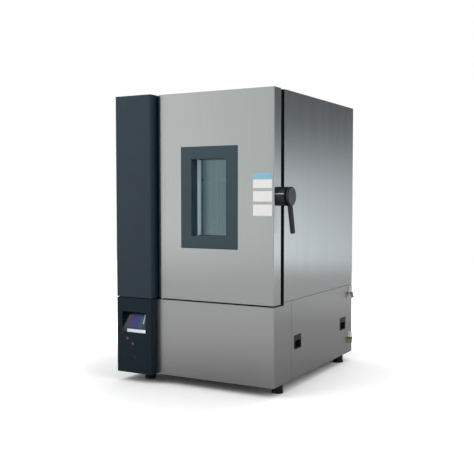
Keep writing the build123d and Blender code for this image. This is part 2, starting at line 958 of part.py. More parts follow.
def ring_wall(x0, x1, outer, inner):
    """Front half of a round wall about the latch spindle."""
    wall = rod(x0, latch_back, latch_height, outer, x1 - x0, "X")
    wall -= rod(x0 - over, latch_back, latch_height, inner, x1 - x0 + 2 * over, "X")
    return wall - block(x0 - over, x1 + over, latch_back - latch_open_side, latch_back + outer + over,
                        latch_height - outer - over, latch_height + outer + over)


def latch_housing():
    """Black drum on the door's edge, open at the rear for the strike."""
    x0 = latch_start
    drum_x = x0 + latch_drum_start
    drum_length = latch_drum_end - latch_drum_start
    flange = rod(x0, latch_back, latch_height, latch_radius, latch_flange, "X")
    flange -= block(x0 - over, x0 + latch_flange + over, door_thickness, body_front + over,
                    latch_height - latch_cut_reach,
                    latch_height + latch_cut_reach)
    drum = rod(drum_x, latch_back, latch_height, latch_radius, drum_length, "X")
    drum = chamfer(drum.edges().group_by(Axis.X)[-1], latch_edge)
    body = flange + drum + ring_wall(x0, drum_x + 1, latch_radius, latch_radius - latch_wall)
    body -= rod(x0 - over, latch_back, latch_height, latch_spindle_radius + pin_clearance,
                latch_drum_end + 2 * over, "X")
    z = latch_height + latch_plate_rise
    body -= block(drum_x + latch_drum_floor, x0 + latch_drum_end + over, latch_back - latch_cut_reach,
                  latch_back + latch_cut_reach, z, z + latch_plate_thickness)
    return body


def latch_plate():
    """Bright plate through the drum."""
    z = latch_height + latch_plate_rise
    half = latch_radius + latch_plate_proud
    x0 = latch_start + latch_drum_start + 2
    return block(x0, latch_start + latch_drum_end, latch_back - half, latch_back + half - latch_plate_end,
                 z, z + latch_plate_thickness)


def latch_cam():
    """Spindle with the slotted cam: the strike pin enters at the mouth and runs round the slot."""
    spindle_end = latch_start + latch_drum_end + lever_hub_length
    spindle = rod(latch_start + running, latch_back, latch_height, latch_spindle_radius,
                  spindle_end - latch_start - running, "X")
    disc = rod(cam_start, latch_back, latch_height, cam_radius, cam_thickness, "X")
    half = strike_pin_radius + cam_play
    track = rod(cam_start - over, latch_back, latch_height, cam_track + half, cam_thickness + 2 * over, "X")
    track -= rod(cam_start - 2 * over, latch_back, latch_height, cam_track - half,
                 cam_thickness + 4 * over, "X")
    quarter = block(cam_start - over, cam_start + cam_thickness + over, latch_back,
                    latch_back + cam_radius + cam_mouth_reach,
                    latch_height, latch_height + cam_radius + cam_mouth_reach)
    end = rod(cam_start - over, latch_back, latch_height + cam_track, half, cam_thickness + 2 * over, "X")
    mouth = block(cam_start - over, cam_start + cam_thickness + over,
                  latch_back + cam_track - half + cam_mouth_lip,
                  latch_back + cam_radius + cam_mouth_reach, latch_height - half, latch_height + half)
    start = rod(cam_start - over, latch_back + cam_track, latch_height, half, cam_thickness + 2 * over, "X")
    return disc - (track & quarter) - end - mouth - start + spindle


def handle_lever():
    """Hub disc and round lever that hangs from it."""
    x0 = latch_start + latch_drum_end + running
    hub = rod(x0, latch_back, latch_height, lever_hub_radius, lever_hub_length, "X")
    disc = rod(x0 + lever_hub_length, latch_back, latch_height, latch_radius, lever_disc, "X")
    disc = chamfer(disc.edges().group_by(Axis.X)[-1], latch_edge)
    start = Vector(x0 + lever_hub_length - lever_tip_radius / 2, latch_back, latch_height - lever_drop)
    tip = Vector(start.X + lever_lean_out, latch_back + lever_lean_back, latch_height - lever_length)
    direction = (tip - start).normalized()
    length = (tip - start).length
    low = (Align.CENTER, Align.CENTER, Align.MIN)
    arm = Plane(origin=start, z_dir=direction) * Cone(lever_radius, lever_tip_radius, length, align=low)
    arm = chamfer(arm.edges().sort_by(Axis.Z)[0], lever_tip_radius / 2)
    arm -= block(latch_start, x0 + lever_skin, latch_back - lever_cut_reach, latch_back + lever_cut_reach,
                 latch_height - lever_cut_reach, latch_height + lever_cut_reach)
    body = hub + disc + arm
    return body - rod(x0 - over, latch_back, latch_height, latch_spindle_radius,
                      lever_hub_length + 1 - running, "X")


def strike():
    """Bracket on the cabinet side with the pin that the cam takes."""
    foot_y = body_front + strike_setback
    foot = block(right, right + strike_arm, foot_y, foot_y + strike_foot, latch_height - strike_foot_half,
                 latch_height + strike_foot_half)
    web = block(right, arm_start + strike_arm, foot_y, foot_y + strike_arm, latch_height - strike_web_half,
                latch_height + strike_web_half)
    pin_back = latch_back + cam_track
    arm = block(arm_start, arm_start + strike_arm, pin_back, foot_y + strike_arm,
                latch_height - strike_arm_half,
                latch_height + strike_arm_half)
    arm += rod(arm_start, pin_back, latch_height, strike_arm_half, strike_arm, "X")
    pin_start = latch_start + latch_flange + running
    pin = rod(pin_start, pin_back, latch_height, strike_pin_radius, arm_start - pin_start + over, "X")
    return foot + web + arm + pin


def shelf_rails():
    """Four upright strips on the side walls, each with its shelf brackets."""
    rails = []
    front_y = body_front + rail_setback
    rear_y = body_front + baffle_distance - rail_setback - rail_width
    for y in (front_y, rear_y):
        for x, inward in ((work_left, 1), (work_right, -1)):
            x_far = x + inward * rail_depth
            strip = block(min(x, x_far), max(x, x_far), y, y + rail_width, work_bottom + rail_end_gap,
                          work_top - rail_end_gap)
            for height in shelf_heights:
                x_tip = x_far + inward * bracket_reach
                strip += block(min(x, x_tip), max(x, x_tip), y, y + rail_width,
                               height - bracket_height, height)
            rails.append(strip)
    return group(rails)


def wire_shelf(height):
    """Grid shelf: a frame of bars with a middle bar and lengthwise wires."""
    x0 = work_left + rail_depth + shelf_clearance
    x1 = work_right - rail_depth - shelf_clearance
    y0 = body_front + shelf_front_gap
    y1 = body_front + baffle_distance - shelf_rear_gap
    z1 = height + shelf_bar
    frame = block(x0, x1, y0, y1, height, z1)
    middle = (y0 + y1) / 2
    for low, high in ((y0 + shelf_bar, middle - shelf_bar / 2), (middle + shelf_bar / 2, y1 - shelf_bar)):
        frame -= block(x0 + shelf_bar, x1 - shelf_bar, low, high, height - over, z1 + over)
    step = (x1 - x0 - shelf_bar) / (shelf_wires + 1)
    for index in range(shelf_wires):
        x = x0 + shelf_bar / 2 + (index + 1) * step
        frame += block(x - shelf_wire / 2, x + shelf_wire / 2, y0 + shelf_wire_inset, y1 - shelf_wire_inset,
                       z1 - shelf_wire / 2, z1 + shelf_wire / 2)
    return frame


def air_baffle():
    """Rear wall of the work space: slots below, louvres above."""
    y = body_front + baffle_distance
    cut = (y - over, y + baffle_sheet + over)
    plate = block(work_left, work_right, y, y + baffle_sheet, work_bottom, work_top)
    pitch_x = (work_width - slot_margin * 2) / slot_columns
    half = pitch_x * slot_share / 2
    openings = []
    for row in range(slot_rows):
        z = work_bottom + slot_margin + row * slot_pitch
        for column in range(slot_columns):
            x = work_left + slot_margin + (column + 0.5) * pitch_x
            openings.append(block(x - half, x + half, *cut, z, z + slot_height))
    blades = []
    for row in range(vent_count):
        z = work_top - vent_top_gap - row * vent_pitch
        openings.append(block(work_left + vent_side_gap, work_right - vent_side_gap, *cut, z,
                              z + vent_height))
        blades.append(block(work_left + vent_side_gap - vent_blade_lap,
                            work_right - vent_side_gap + vent_blade_lap, y - vent_reach, y,
                            z - vent_blade * 2, z - vent_blade))
    return plate - openings + blades


def evaporator_coil():
    """Finned cooling coil on its two end plates."""
    x0 = work_left + coil_side_gap
    x1 = work_right - coil_side_gap
    y1 = liner_back - sheet
    y0 = y1 - coil_depth
    z1 = coil_bottom + coil_height
    coil = block(x0, x1, y0, y1 - coil_back_gap, coil_bottom, z1)
    pitch = (x1 - x0) / coil_fins
    half = pitch * coil_gap_share / 2
    for index in range(coil_fins - 1):
        x = x0 + (index + 1) * pitch
        coil -= block(x - half, x + half, y0 - over, y0 + coil_groove, coil_bottom - over, z1 + over)
    for x in (x0 - coil_end, x1):
        coil += block(x, x + coil_end, y0 - coil_end_rise, y1, coil_bottom - coil_end_rise,
                      z1 + coil_end_rise)
    return coil


def heater_coil():
    """Straight sheathed heater rods between two end plates."""
    x0 = work_left + heater_side_gap
    x1 = work_right - heater_side_gap
    back = liner_back - sheet
    y = back - heater_setback
    z0 = heater_bottom - heater_margin
    z1 = z0 + heater_height
    coil = block(x0, x0 + heater_plate, y - heater_margin, back, z0, z1)
    coil += block(x1 - heater_plate, x1, y - heater_margin, back, z0, z1)
    for index in range(heater_rods):
        coil += rod(x0, y, heater_bottom + index * heater_pitch, heater_radius, x1 - x0, "X")
    return coil


def humidifier_pan():
    """Open water pan on the floor behind the baffle."""
    y1 = liner_back - sheet - pan_back_gap
    y0 = y1 - pan_depth
    x0 = work_left + pan_side_gap
    x1 = work_right - pan_side_gap
    z1 = work_bottom + pan_height
    outer = block(x0, x1, y0, y1, work_bottom, z1)
    return outer - block(x0 + pan_sheet, x1 - pan_sheet, y0 + pan_sheet, y1 - pan_sheet,
                         work_bottom + pan_sheet, z1 + over)


def blower_wheel():
    """Centrifugal wheel: back disc, front ring and slanted blades."""
    y1 = liner_back - sheet - blower_rear_gap
    y0 = y1 - blower_width
    back = rod(work_centre, y1 - blower_plate, blower_height, blower_radius, blower_plate, "Y")
    ring = rod(work_centre, y0, blower_height, blower_radius, blower_plate, "Y")
    ring -= rod(work_centre, y0 - over, blower_height, blower_radius * blower_inner_share,
                blower_plate + 2 * over, "Y")
    hub = rod(work_centre, y1 - blower_hub_length, blower_height, blower_hub_radius, blower_hub_length, "Y")
    wheel = back + ring + hub
    chord = blower_radius * (1 - blower_inner_share)
    blade = Rot(0, blower_blade_angle, 0) * Box(chord, blower_width - blower_plate, blower_plate / 2)
    middle = (blower_radius * (1 + blower_inner_share) - blower_plate) / 2
    for index in range(blower_blades):
        turn = Rot(0, index * 360 / blower_blades, 0)
        wheel += Pos(work_centre, (y0 + y1) / 2, blower_height) * turn * Pos(middle, 0, 0) * blade
    return wheel - rod(work_centre, y0, blower_height, blower_shaft_radius, blower_width + over, "Y")


def blower_shaft():
    """Shaft from the wheel through the rear wall to the motor."""
    y0 = liner_back - sheet - blower_rear_gap - blower_hub_length
    y1 = rear - sheet - motor_length
    return rod(work_centre, y0, blower_height, blower_shaft_radius, y1 - y0 - running, "Y")


def blower_motor():
    """Fan motor in its pocket, with cooling ribs and a mounting flange."""
    y0 = rear - sheet - motor_length
    body = rod(work_centre, y0, blower_height, motor_radius - motor_rib_height, motor_length, "Y")
    rib = Box(motor_rib_height * 2, motor_length, motor_rib_width)
    for index in range(motor_ribs):
        turn = Rot(0, index * 360 / motor_ribs, 0)
        place = Pos(work_centre, y0 + motor_length / 2, blower_height)
        body += place * turn * Pos(motor_radius - motor_rib_height, 0, 0) * rib
    flange = rod(work_centre, y0 - motor_flange, blower_height, motor_radius + motor_pocket_gap,
                 motor_flange, "Y")
    flange -= rod(work_centre, y0 - motor_flange - over, blower_height, shaft_tunnel_radius,
                  motor_flange + over, "Y")
    return body + flange


def temperature_probe():
    """Slim probe with its clip on the baffle."""
    y = body_front + baffle_distance
    x = work_right - probe_side_gap
    z = work_top - probe_top_gap
    probe = rod(x, y - probe_stand, z - probe_length / 2, probe_radius, probe_length)
    half = probe_clip / 2
    clip = block(x - half, x + half, y - probe_stand - probe_clip_lap, y, z - half, z + half)
    return probe + clip


def cable_port_sleeve():
    """Tube from the work space to the left side, with a flange ring at each end."""
    def ring(x, radius, length):
        solid = rod(x, port_setback, port_height, radius, length, "X")
        return solid - rod(x - over, port_setback, port_height, port_radius, length + 2 * over, "X")

    return group([
        ring(left, port_radius + port_wall, work_left - left),
        ring(left - port_flange, port_flange_radius, port_flange),
        ring(work_left, port_flange_radius, port_flange),
    ])


def cable_port_plug():
    """Soft plug in the outer end of the sleeve."""
    x0 = left - port_flange - running
    plug = rod(x0, port_setback, port_height, port_radius - running, port_plug_length, "X")
    plug += rod(x0 - port_plug_head, port_setback, port_height, port_radius + port_plug_grip,
                port_plug_head, "X")
    return chamfer(plug.edges().group_by(Axis.X)[0], port_plug_head / 4)


def compressor():
    """Hermetic compressor: domed can with a seam, feet plate and terminal box."""
    x, y, z0 = compressor_x, compressor_y, tray_floor
    can = rod(x, y, z0 + compressor_lift, compressor_radius, compressor_height - compressor_lift)
    can = chamfer(can.edges().group_by(Axis.Z)[-1], compressor_dome)
    can = chamfer(can.edges().group_by(Axis.Z)[0], compressor_lift)
    seam = rod(x, y, z0 + compressor_height * compressor_seam_share, compressor_radius + compressor_seam,
               compressor_seam)
    size = compressor_radius + compressor_plate_margin
    plate = block(x - size, x + size, y - size, y + size, z0 + compressor_foot,
                  z0 + compressor_foot + compressor_plate)
    reach = size - compressor_foot
    corners = [(i * reach, j * reach) for i in (-1, 1) for j in (-1, 1)]
    feet = [rod(x + dx, y + dy, z0, compressor_foot, compressor_foot) for dx, dy in corners]
    half = terminal_width / 2
    box = block(x + compressor_radius - compressor_plate, x + compressor_radius + terminal_reach,
                y - half, y + half,
                z0 + compressor_radius, z0 + compressor_radius + terminal_height)
    return can + seam + plate + feet + box


def condenser_planes():
    """Front and rear plane of the condenser coil."""
    y1 = rear - sheet - tray_sheet - post_size
    return y1 - condenser_depth, y1


def condenser_coil():
    """Finned block behind the rear louvres, standing on the tray."""
    y0, y1 = condenser_planes()
    x0 = work_centre - condenser_width / 2
    x1 = work_centre + condenser_width / 2
    z0 = tray_floor
    z1 = z0 + condenser_height
    coil = block(x0, x1, y0, y1, z0, z1)
    gap = condenser_width / condenser_fins
    for index in range(condenser_fins):
        x = x0 + (index + 0.25) * gap
        coil -= block(x, x + gap / 2, y1 - condenser_groove, y1 + over, z0 + condenser_header,
                      z1 - condenser_header)
    return coil


def fan_axis_height():
    """Height of the condenser fan's axis."""
    return tray_floor + condenser_height / 2


def condenser_shroud():
    """Plate and ring that guide the air through the condenser."""
    y1 = condenser_planes()[0]
    z = fan_axis_height()
    x0 = work_centre - condenser_width / 2
    plate = block(x0, x0 + condenser_width, y1 - shroud_sheet, y1, tray_floor,
                  tray_floor + condenser_height)
    ring = rod(work_centre, y1 - shroud_depth, z, fan_radius + shroud_gap + shroud_sheet, shroud_depth, "Y")
    return plate + ring - rod(work_centre, y1 - shroud_depth - over, z, fan_radius + shroud_gap,
                              shroud_depth + 2 * over, "Y")


def condenser_fan():
    """Axial fan with twisted blades."""
    y1 = condenser_planes()[0]
    z = fan_axis_height()
    y_mid = y1 - shroud_depth / 2
    y0 = y_mid - fan_depth / 2
    fan = rod(work_centre, y0, z, fan_hub_radius, fan_depth, "Y")
    root = (fan_hub_radius - fan_blade * 2, fan_root_width, fan_pitch)
    tip = (fan_radius, fan_tip_width, fan_pitch * fan_tip_share)
    sections = []
    for radius, width, pitch in (root, tip):
        along = (0, sin(radians(pitch)), cos(radians(pitch)))
        sections.append(Plane(origin=(radius, 0, 0), x_dir=along, z_dir=(1, 0, 0))
                        * Rectangle(width, fan_blade))
    blade = loft(sections, ruled=True)
    for index in range(fan_blades):
        fan += Pos(work_centre, y_mid, z) * Rot(0, index * 360 / fan_blades, 0) * blade
    return fan - rod(work_centre, y0 - over, z, fan_shaft_radius + pin_clearance,
                     fan_depth - fan_bore_end, "Y")


def condenser_motor():
    """Fan motor on a cross bracket."""
    y1 = condenser_planes()[0]
    z = fan_axis_height()
    half = fan_arm / 2
    y_fan = y1 - shroud_depth / 2 - fan_depth / 2
    y_face = y1 - shroud_depth - fan_motor_gap
    y_back = y_face - fan_arm_sheet
    reach = fan_radius + shroud_gap + shroud_sheet
    motor = rod(work_centre, y_face - fan_motor_length, z, fan_motor_radius, fan_motor_length, "Y")
    shaft_end = y_fan + fan_depth - fan_bore_end - fan_arm_sheet
    shaft = rod(work_centre, y_face, z, fan_shaft_radius, shaft_end - y_face, "Y")
    arm = block(work_centre - reach, work_centre + reach, y_back, y_face, z - half, z + half)
    legs = [block(x, x + fan_leg, y_back, y1 - shroud_depth, z - half, z + half)
            for x in (work_centre - reach, work_centre + reach - fan_leg)]
    return motor + shaft + arm + legs


def refrigerant_circuit():
    """Liquid receiver with the pipes between the compressor, the condenser and itself."""
    y_end = condenser_planes()[0] + condenser_depth / 2
    receiver = rod(receiver_x, receiver_y, tray_floor, receiver_radius, receiver_height)
    receiver = chamfer(receiver.edges().group_by(Axis.Z)[-1], receiver_edge)
    head = tray_floor + receiver_height
    high = head + pipe_rise
    liquid = tube([(receiver_x, receiver_y, head), (receiver_x, receiver_y, high),
                   (receiver_x, y_end, high),
                   (work_centre - condenser_width / 2, y_end, high)], pipe_radius)
    start = tray_floor + compressor_height
    condenser_top = tray_floor + condenser_height
    over = max(start, condenser_top) + pipe_rise
    hot = tube([(compressor_x, compressor_y, start), (compressor_x, compressor_y, over),
                (compressor_x, y_end, over), (compressor_x, y_end, condenser_top)], pipe_radius)
    return group([receiver + liquid, hot])


def electrical_panel():
    """Mounting plate on the box's left wall with its rails, breakers, relays and supply."""
    x0 = box_left - electrical_plate
    y0 = body_front + electrical_setback
    y1 = y0 + electrical_width
    z1 = electrical_bottom + electrical_height
    plate = block(x0, box_left, y0, y1, electrical_bottom, z1)
    modules = []
    face = x0 - rail_thickness
    for row, (height, depth, count) in enumerate(module_rows):
        z = z1 - (row + 0.5) * electrical_height / len(module_rows)
        plate += block(face, x0, y0 + module_edge - module_gap, y1 - module_edge, z - rail_strip / 2,
                       z + rail_strip / 2)
        pitch = (electrical_width - module_edge * 2) / count
        for index in range(count):
            y = y0 + module_edge + index * pitch
            modules.append(block(face - depth, face, y, y + pitch - module_gap, z - height / 2,
                                 z + height / 2))
    return group([plate] + modules)


def fitting_bodies():
    """White bosses on the rear strip that hold the brass nipples."""
    bodies = []
    for height in fitting_heights:
        z = bottom + height
        y = rear - fitting_setback
        boss = block(right, right + fitting_body_reach, y - fitting_body_radius, y + fitting_body_radius,
                     z, z + fitting_body_height)
        boss = fillet(boss.edges().filter_by(Axis.Z).group_by(Axis.X)[-1], fitting_corner)
        bodies.append(boss)
    return group(bodies)


def nipple_axis(index):
    """Plane at the top of a nipple, with its axis towards the hose."""
    x = right + nipple_nut_radius + 1
    y = rear - fitting_setback
    lean = radians(nipple_leans[index])
    return Plane(origin=(x, y, bottom + fitting_heights[index]), x_dir=(0, 1, 0),
                 z_dir=(sin(lean), 0, -cos(lean)))


def fitting_nipples():
    """Brass hose nipples that point down from the bosses; the upper one leans out past the lower one."""
    nipples = []
    for index, height in enumerate(fitting_heights):
        plane = nipple_axis(index)
        ball = nipple_nut_radius - 1
        under = Pos(0, 0, -ball) * Box(ball * 2, ball * 2, ball * 2)
        elbow = Pos(plane.origin) * (Sphere(ball) & under)
        nut_face = plane * Pos(0, 0, nipple_elbow)
        nut = nut_face * extrude(RegularPolygon(nipple_nut_radius, 6), nipple_nut_height)
        low = (Align.CENTER, Align.CENTER, Align.MIN)
        tail = nut_face * Pos(0, 0, nipple_nut_height) * Cylinder(nipple_radius, nipple_length, align=low)
        bore = nut_face * Pos(0, 0, nipple_nut_height + 1) * Cylinder(
            nipple_bore_radius, nipple_length, align=low)
        nipples.append(elbow + nut + tail - bore)
    return group(nipples)


nodes = {
    "levelling_feet": levelling_feet(),
    "base_tray": base_tray(),
    "corner_posts": corner_posts(),
    "machine_deck": machine_deck(),
    "lower_front_panel": lower_front_panel(),
    "right_service_panel": right_service_panel(),
    "panel_pulls": panel_pulls(),
    "lower_rear_wrap": lower_rear_wrap(),
    "left_lower_panel": left_lower_panel(),
    "column_upper_cover": column_upper_cover(),
    "column_lower_cover": column_lower_cover(),
    "display_unit": display_unit(),
    "display_glass": display_glass(),
    "power_button": power_button(),
    "key_switch": key_switch(),
    "cover_lock": cover_lock(),
    "right_side_panel": right_side_panel(),
    "left_side_panel": left_side_panel(),
    "top_panel": top_panel(),
    "rear_panel": rear_panel(),
    "motor_cover": motor_cover(),
    "insulation": insulation(),
    "inner_liner": inner_liner(),
    "door_frame": door_frame(),
    "hinge_brackets": hinge_brackets(),
    "hinge_blocks": hinge_blocks(),
    "door_skin": door_skin(),
    "door_core": door_core(),
    "door_liner": door_liner(),
    "window_frame": window_frame(),
    "window_inner_frame": window_inner_frame(),
    "window_panes": window_panes(),
    "door_gasket": door_gasket(),
    "latch_housing": latch_housing(),
    "latch_plate": latch_plate(),
    "latch_cam": latch_cam(),
    "handle_lever": handle_lever(),
    "strike": strike(),
    "shelf_rails": shelf_rails(),
    "shelf_lower": wire_shelf(shelf_heights[0]),
    "shelf_upper": wire_shelf(shelf_heights[1]),
    "air_baffle": air_baffle(),
    "evaporator_coil": evaporator_coil(),
    "heater_coil": heater_coil(),
    "humidifier_pan": humidifier_pan(),
    "blower_wheel": blower_wheel(),
    "blower_shaft": blower_shaft(),
    "blower_motor": blower_motor(),
    "temperature_probe": temperature_probe(),
    "cable_port_sleeve": cable_port_sleeve(),
    "cable_port_plug": cable_port_plug(),
    "compressor": compressor(),
    "condenser_coil": condenser_coil(),
    "condenser_shroud": condenser_shroud(),
    "condenser_fan": condenser_fan(),
    "condenser_motor": condenser_motor(),
    "refrigerant_circuit": refrigerant_circuit(),
    "electrical_panel": electrical_panel(),
    "fitting_bodies": fitting_bodies(),
    "fitting_nipples": fitting_nipples(),
}

# The origin is on the floor, under the middle of the overall box
overall = Compound([solid for shape in nodes.values() for solid in shape.solids()]).bounding_box()
to_origin = Pos(-overall.center().X, -overall.center().Y, -overall.min.Z)
for name, shape in nodes.items():
    export_step(to_origin * group([shape]), f"parts/{name}.step")
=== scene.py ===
"""Looks of the environmental test chamber: materials, small pieces, camera and light."""
import json
import math

import bmesh
import bpy
from mathutils import Euler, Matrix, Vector


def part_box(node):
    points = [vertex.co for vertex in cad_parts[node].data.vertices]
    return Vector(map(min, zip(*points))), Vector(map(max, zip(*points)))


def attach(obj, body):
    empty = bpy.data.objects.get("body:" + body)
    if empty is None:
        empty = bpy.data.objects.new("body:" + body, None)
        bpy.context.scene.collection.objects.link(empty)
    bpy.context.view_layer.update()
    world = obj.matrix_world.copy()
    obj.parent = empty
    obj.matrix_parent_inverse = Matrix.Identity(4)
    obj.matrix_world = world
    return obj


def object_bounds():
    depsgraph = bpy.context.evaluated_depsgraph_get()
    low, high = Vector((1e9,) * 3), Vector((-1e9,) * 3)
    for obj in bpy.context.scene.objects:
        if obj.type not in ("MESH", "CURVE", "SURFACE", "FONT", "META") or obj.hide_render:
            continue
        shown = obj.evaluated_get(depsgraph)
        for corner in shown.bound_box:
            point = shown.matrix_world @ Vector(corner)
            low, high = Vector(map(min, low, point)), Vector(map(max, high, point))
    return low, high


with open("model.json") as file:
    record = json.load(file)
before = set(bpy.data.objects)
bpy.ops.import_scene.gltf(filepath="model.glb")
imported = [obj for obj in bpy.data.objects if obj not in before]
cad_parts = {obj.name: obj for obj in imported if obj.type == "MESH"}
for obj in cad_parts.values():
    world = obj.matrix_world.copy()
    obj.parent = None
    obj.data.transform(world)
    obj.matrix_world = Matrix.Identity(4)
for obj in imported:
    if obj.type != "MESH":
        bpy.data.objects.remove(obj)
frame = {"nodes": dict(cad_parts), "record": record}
cad_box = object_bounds()
nodes = frame["nodes"]


def low(node):
    """Lowest corner of a node."""
    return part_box(node)[0]


def high(node):
    """Highest corner of a node."""
    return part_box(node)[1]


RIGHT = high("right_side_panel").x
DOOR_FRONT = low("door_skin").y
BOTTOM = low("lower_front_panel").z

# Camera fitted to the cabinet's edges, measured from its right front lower corner
CAMERA_FROM_CORNER = Vector((1.9606, -4.0146, 1.1229))
CAMERA_YAW = math.radians(28.79)
CAMERA_PITCH = math.radians(2.96)
FOCAL_PX = 770.4
IMAGE_PX = 474
SENSOR_MM = 36.0
FARTHEST = 100.0


def make_camera():
    """Camera that sees the cabinet from its front right."""
    data = bpy.data.cameras.new("camera")
    data.sensor_width = SENSOR_MM
    data.lens = FOCAL_PX / IMAGE_PX * SENSOR_MM
    data.clip_end = FARTHEST
    camera = bpy.data.objects.new("camera", data)
    camera.location = Vector((RIGHT, DOOR_FRONT, BOTTOM)) + CAMERA_FROM_CORNER
    camera.rotation_euler = Euler((math.pi / 2 - CAMERA_PITCH, 0.0, CAMERA_YAW))
    bpy.context.scene.collection.objects.link(camera)
    bpy.context.scene.camera = camera


# Material helpers

# Part of a noise's range that is mapped onto a range of roughness, and onto two tones
NOISE_SPREAD = (0.3, 0.7)
TONE_ENDS = (0.32, 0.68)
NOISE_ROUGHNESS = 0.6


class Shader:
    """A Principled material with short ways to add nodes and links."""

    def __init__(self, name):
        self.material = bpy.data.materials.new(name)
        self.material.use_nodes = True
        self.tree = self.material.node_tree
        self.bsdf = self.tree.nodes["Principled BSDF"]

    def node(self, kind, **settings):
        made = self.tree.nodes.new(kind)
        for key, value in settings.items():
            if key in made.inputs:
                made.inputs[key].default_value = value
            else:
                setattr(made, key, value)
        return made

    def link(self, source, target):
        self.tree.links.new(source, target)

    def set(self, **values):
        for key, value in values.items():
            self.bsdf.inputs[key.replace("_", " ")].default_value = value

    def coords(self, scale):
        """Object coordinates, stretched by a scale for each axis."""
        source = self.node("ShaderNodeTexCoord")
        mapping = self.node("ShaderNodeMapping")
        mapping.inputs["Scale"].default_value = scale
        self.link(source.outputs["Object"], mapping.inputs["Vector"])
        return mapping.outputs["Vector"]

    def noise(self, scale, detail):
        texture = self.node("ShaderNodeTexNoise")
        texture.inputs["Scale"].default_value = 1.0
        texture.inputs["Detail"].default_value = detail
        texture.inputs["Roughness"].default_value = NOISE_ROUGHNESS
        self.link(self.coords(scale), texture.inputs["Vector"])
        return texture.outputs["Fac"]

    def spread(self, value, low_value, high_value):
        """Map a 0 to 1 value onto a range."""
        ranged = self.node("ShaderNodeMapRange")
        ranged.inputs["From Min"].default_value = NOISE_SPREAD[0]
        ranged.inputs["From Max"].default_value = NOISE_SPREAD[1]
        ranged.inputs["To Min"].default_value = low_value
        ranged.inputs["To Max"].default_value = high_value
        self.link(value, ranged.inputs["Value"])
        return ranged.outputs["Result"]

    def tones(self, value, color, variation):
        """Base colour that runs between a darker and a lighter tone."""
        ramp = self.node("ShaderNodeValToRGB")
        factors = (1 - variation, 1 + variation)
        for element, position, factor in zip(ramp.color_ramp.elements, TONE_ENDS, factors):
            element.position = position
            element.color = (*scaled(color, factor), 1.0)
        self.link(value, ramp.inputs["Fac"])
        self.link(ramp.outputs["Color"], self.bsdf.inputs["Base Color"])

    def roughness(self, value, rough, variation):
        """Roughness that varies by a share up and down."""
        ends = (rough * (1 - variation), rough * (1 + variation))
        self.link(self.spread(value, *ends), self.bsdf.inputs["Roughness"])

    def bump(self, value, strength, distance):
        made = self.node("ShaderNodeBump")
        made.inputs["Strength"].default_value = strength
        made.inputs["Distance"].default_value = distance
        self.link(value, made.inputs["Height"])
        self.link(made.outputs["Normal"], self.bsdf.inputs["Normal"])


def scaled(color, factor):
    return tuple(channel * factor for channel in color)


# Streaks for each metre across and along the grain, and how much wider the smudges are
GRAIN_FINE = 1400.0
GRAIN_LONG = 2.0
SMUDGE_SHARE = 0.02
# Middle tone as a share of the colour given, and the variation round it
FOAM_MIDDLE = 0.875
FOAM_VARIATION = 1 / 7
GLASS_MIDDLE = 0.98
GLASS_VARIATION = 1 / 49
GLASS_SHINE = 0.07
GLASS_ROUGHNESS = (0.02, 0.06)


def even(scale):
    """The same scale on all three axes."""
    return (scale, scale, scale)


def brushed(name, color, rough=0.24, grain="Z", anisotropy=0.6, variation=0.035, coarse=1.0):
    """Brushed sheet: long fine streaks along one axis, with highlights drawn out across them."""
    s = Shader(name)
    scale = [GRAIN_LONG if axis == grain else GRAIN_FINE for axis in "XYZ"]
    streaks = s.noise([channel * coarse for channel in scale], 3.0)
    s.tones(streaks, color, variation)
    s.roughness(s.noise([channel * SMUDGE_SHARE for channel in scale], 2.0), rough, 0.08)
    s.bump(streaks, 0.03, 0.0002)
    s.set(Metallic=1.0, Anisotropic=anisotropy)
    tangent = s.node("ShaderNodeTangent", direction_type="RADIAL", axis="Z")
    s.link(tangent.outputs["Tangent"], s.bsdf.inputs["Tangent"])
    return s.material


def coated(name, color, rough=0.35, coat=0.25, peel=0.03, shine=0.5):
    """Painted or moulded surface with faint orange peel and tone changes."""
    s = Shader(name)
    s.tones(s.noise(even(5), 5.0), color, 0.08)
    s.roughness(s.noise(even(60), 3.0), rough, 0.15)
    s.bump(s.noise(even(420), 2.0), peel, 0.0005)
    s.set(**{"Coat Weight": coat, "Coat Roughness": 0.12, "Specular IOR Level": shine})
    return s.material


def metal(name, color, rough=0.25, variation=0.08, grain_scale=140.0):
    """Turned, cast or plated metal."""
    s = Shader(name)
    s.tones(s.noise(even(grain_scale), 4.0), color, variation)
    s.roughness(s.noise(even(30), 3.0), rough, 0.3)
    s.bump(s.noise(even(500), 2.0), 0.04, 0.0003)
    s.set(Metallic=1.0)
    return s.material


def rubber(name, color, rough=0.6, shine=0.5):
    """Dull rubber or silicone with a fine grain."""
    s = Shader(name)
    s.tones(s.noise(even(40), 5.0), color, 0.2)
    s.roughness(s.noise(even(200), 3.0), rough, 0.1)
    s.bump(s.noise(even(900), 2.0), 0.12, 0.0004)
    s.set(**{"Specular IOR Level": shine})
    return s.material


def foam(name, color):
    """Insulating foam with open cells."""
    s = Shader(name)
    cells = s.node("ShaderNodeTexVoronoi")
    cells.inputs["Scale"].default_value = 1.0
    s.link(s.coords(even(220)), cells.inputs["Vector"])
    s.tones(cells.outputs["Distance"], scaled(color, FOAM_MIDDLE), FOAM_VARIATION)
    s.bump(cells.outputs["Distance"], 0.5, 0.002)
    s.set(Roughness=0.9)
    return s.material


def clear_glass(name, tint):
    """Thin clear pane that still lets light and shadows through."""
    s = Shader(name)
    smudge = s.noise(even(6), 4.0)
    s.tones(smudge, scaled(tint, GLASS_MIDDLE), GLASS_VARIATION)
    s.set(**{"Metallic": 1.0, "Alpha": GLASS_SHINE})
    s.link(s.spread(smudge, *GLASS_ROUGHNESS), s.bsdf.inputs["Roughness"])
    return s.material


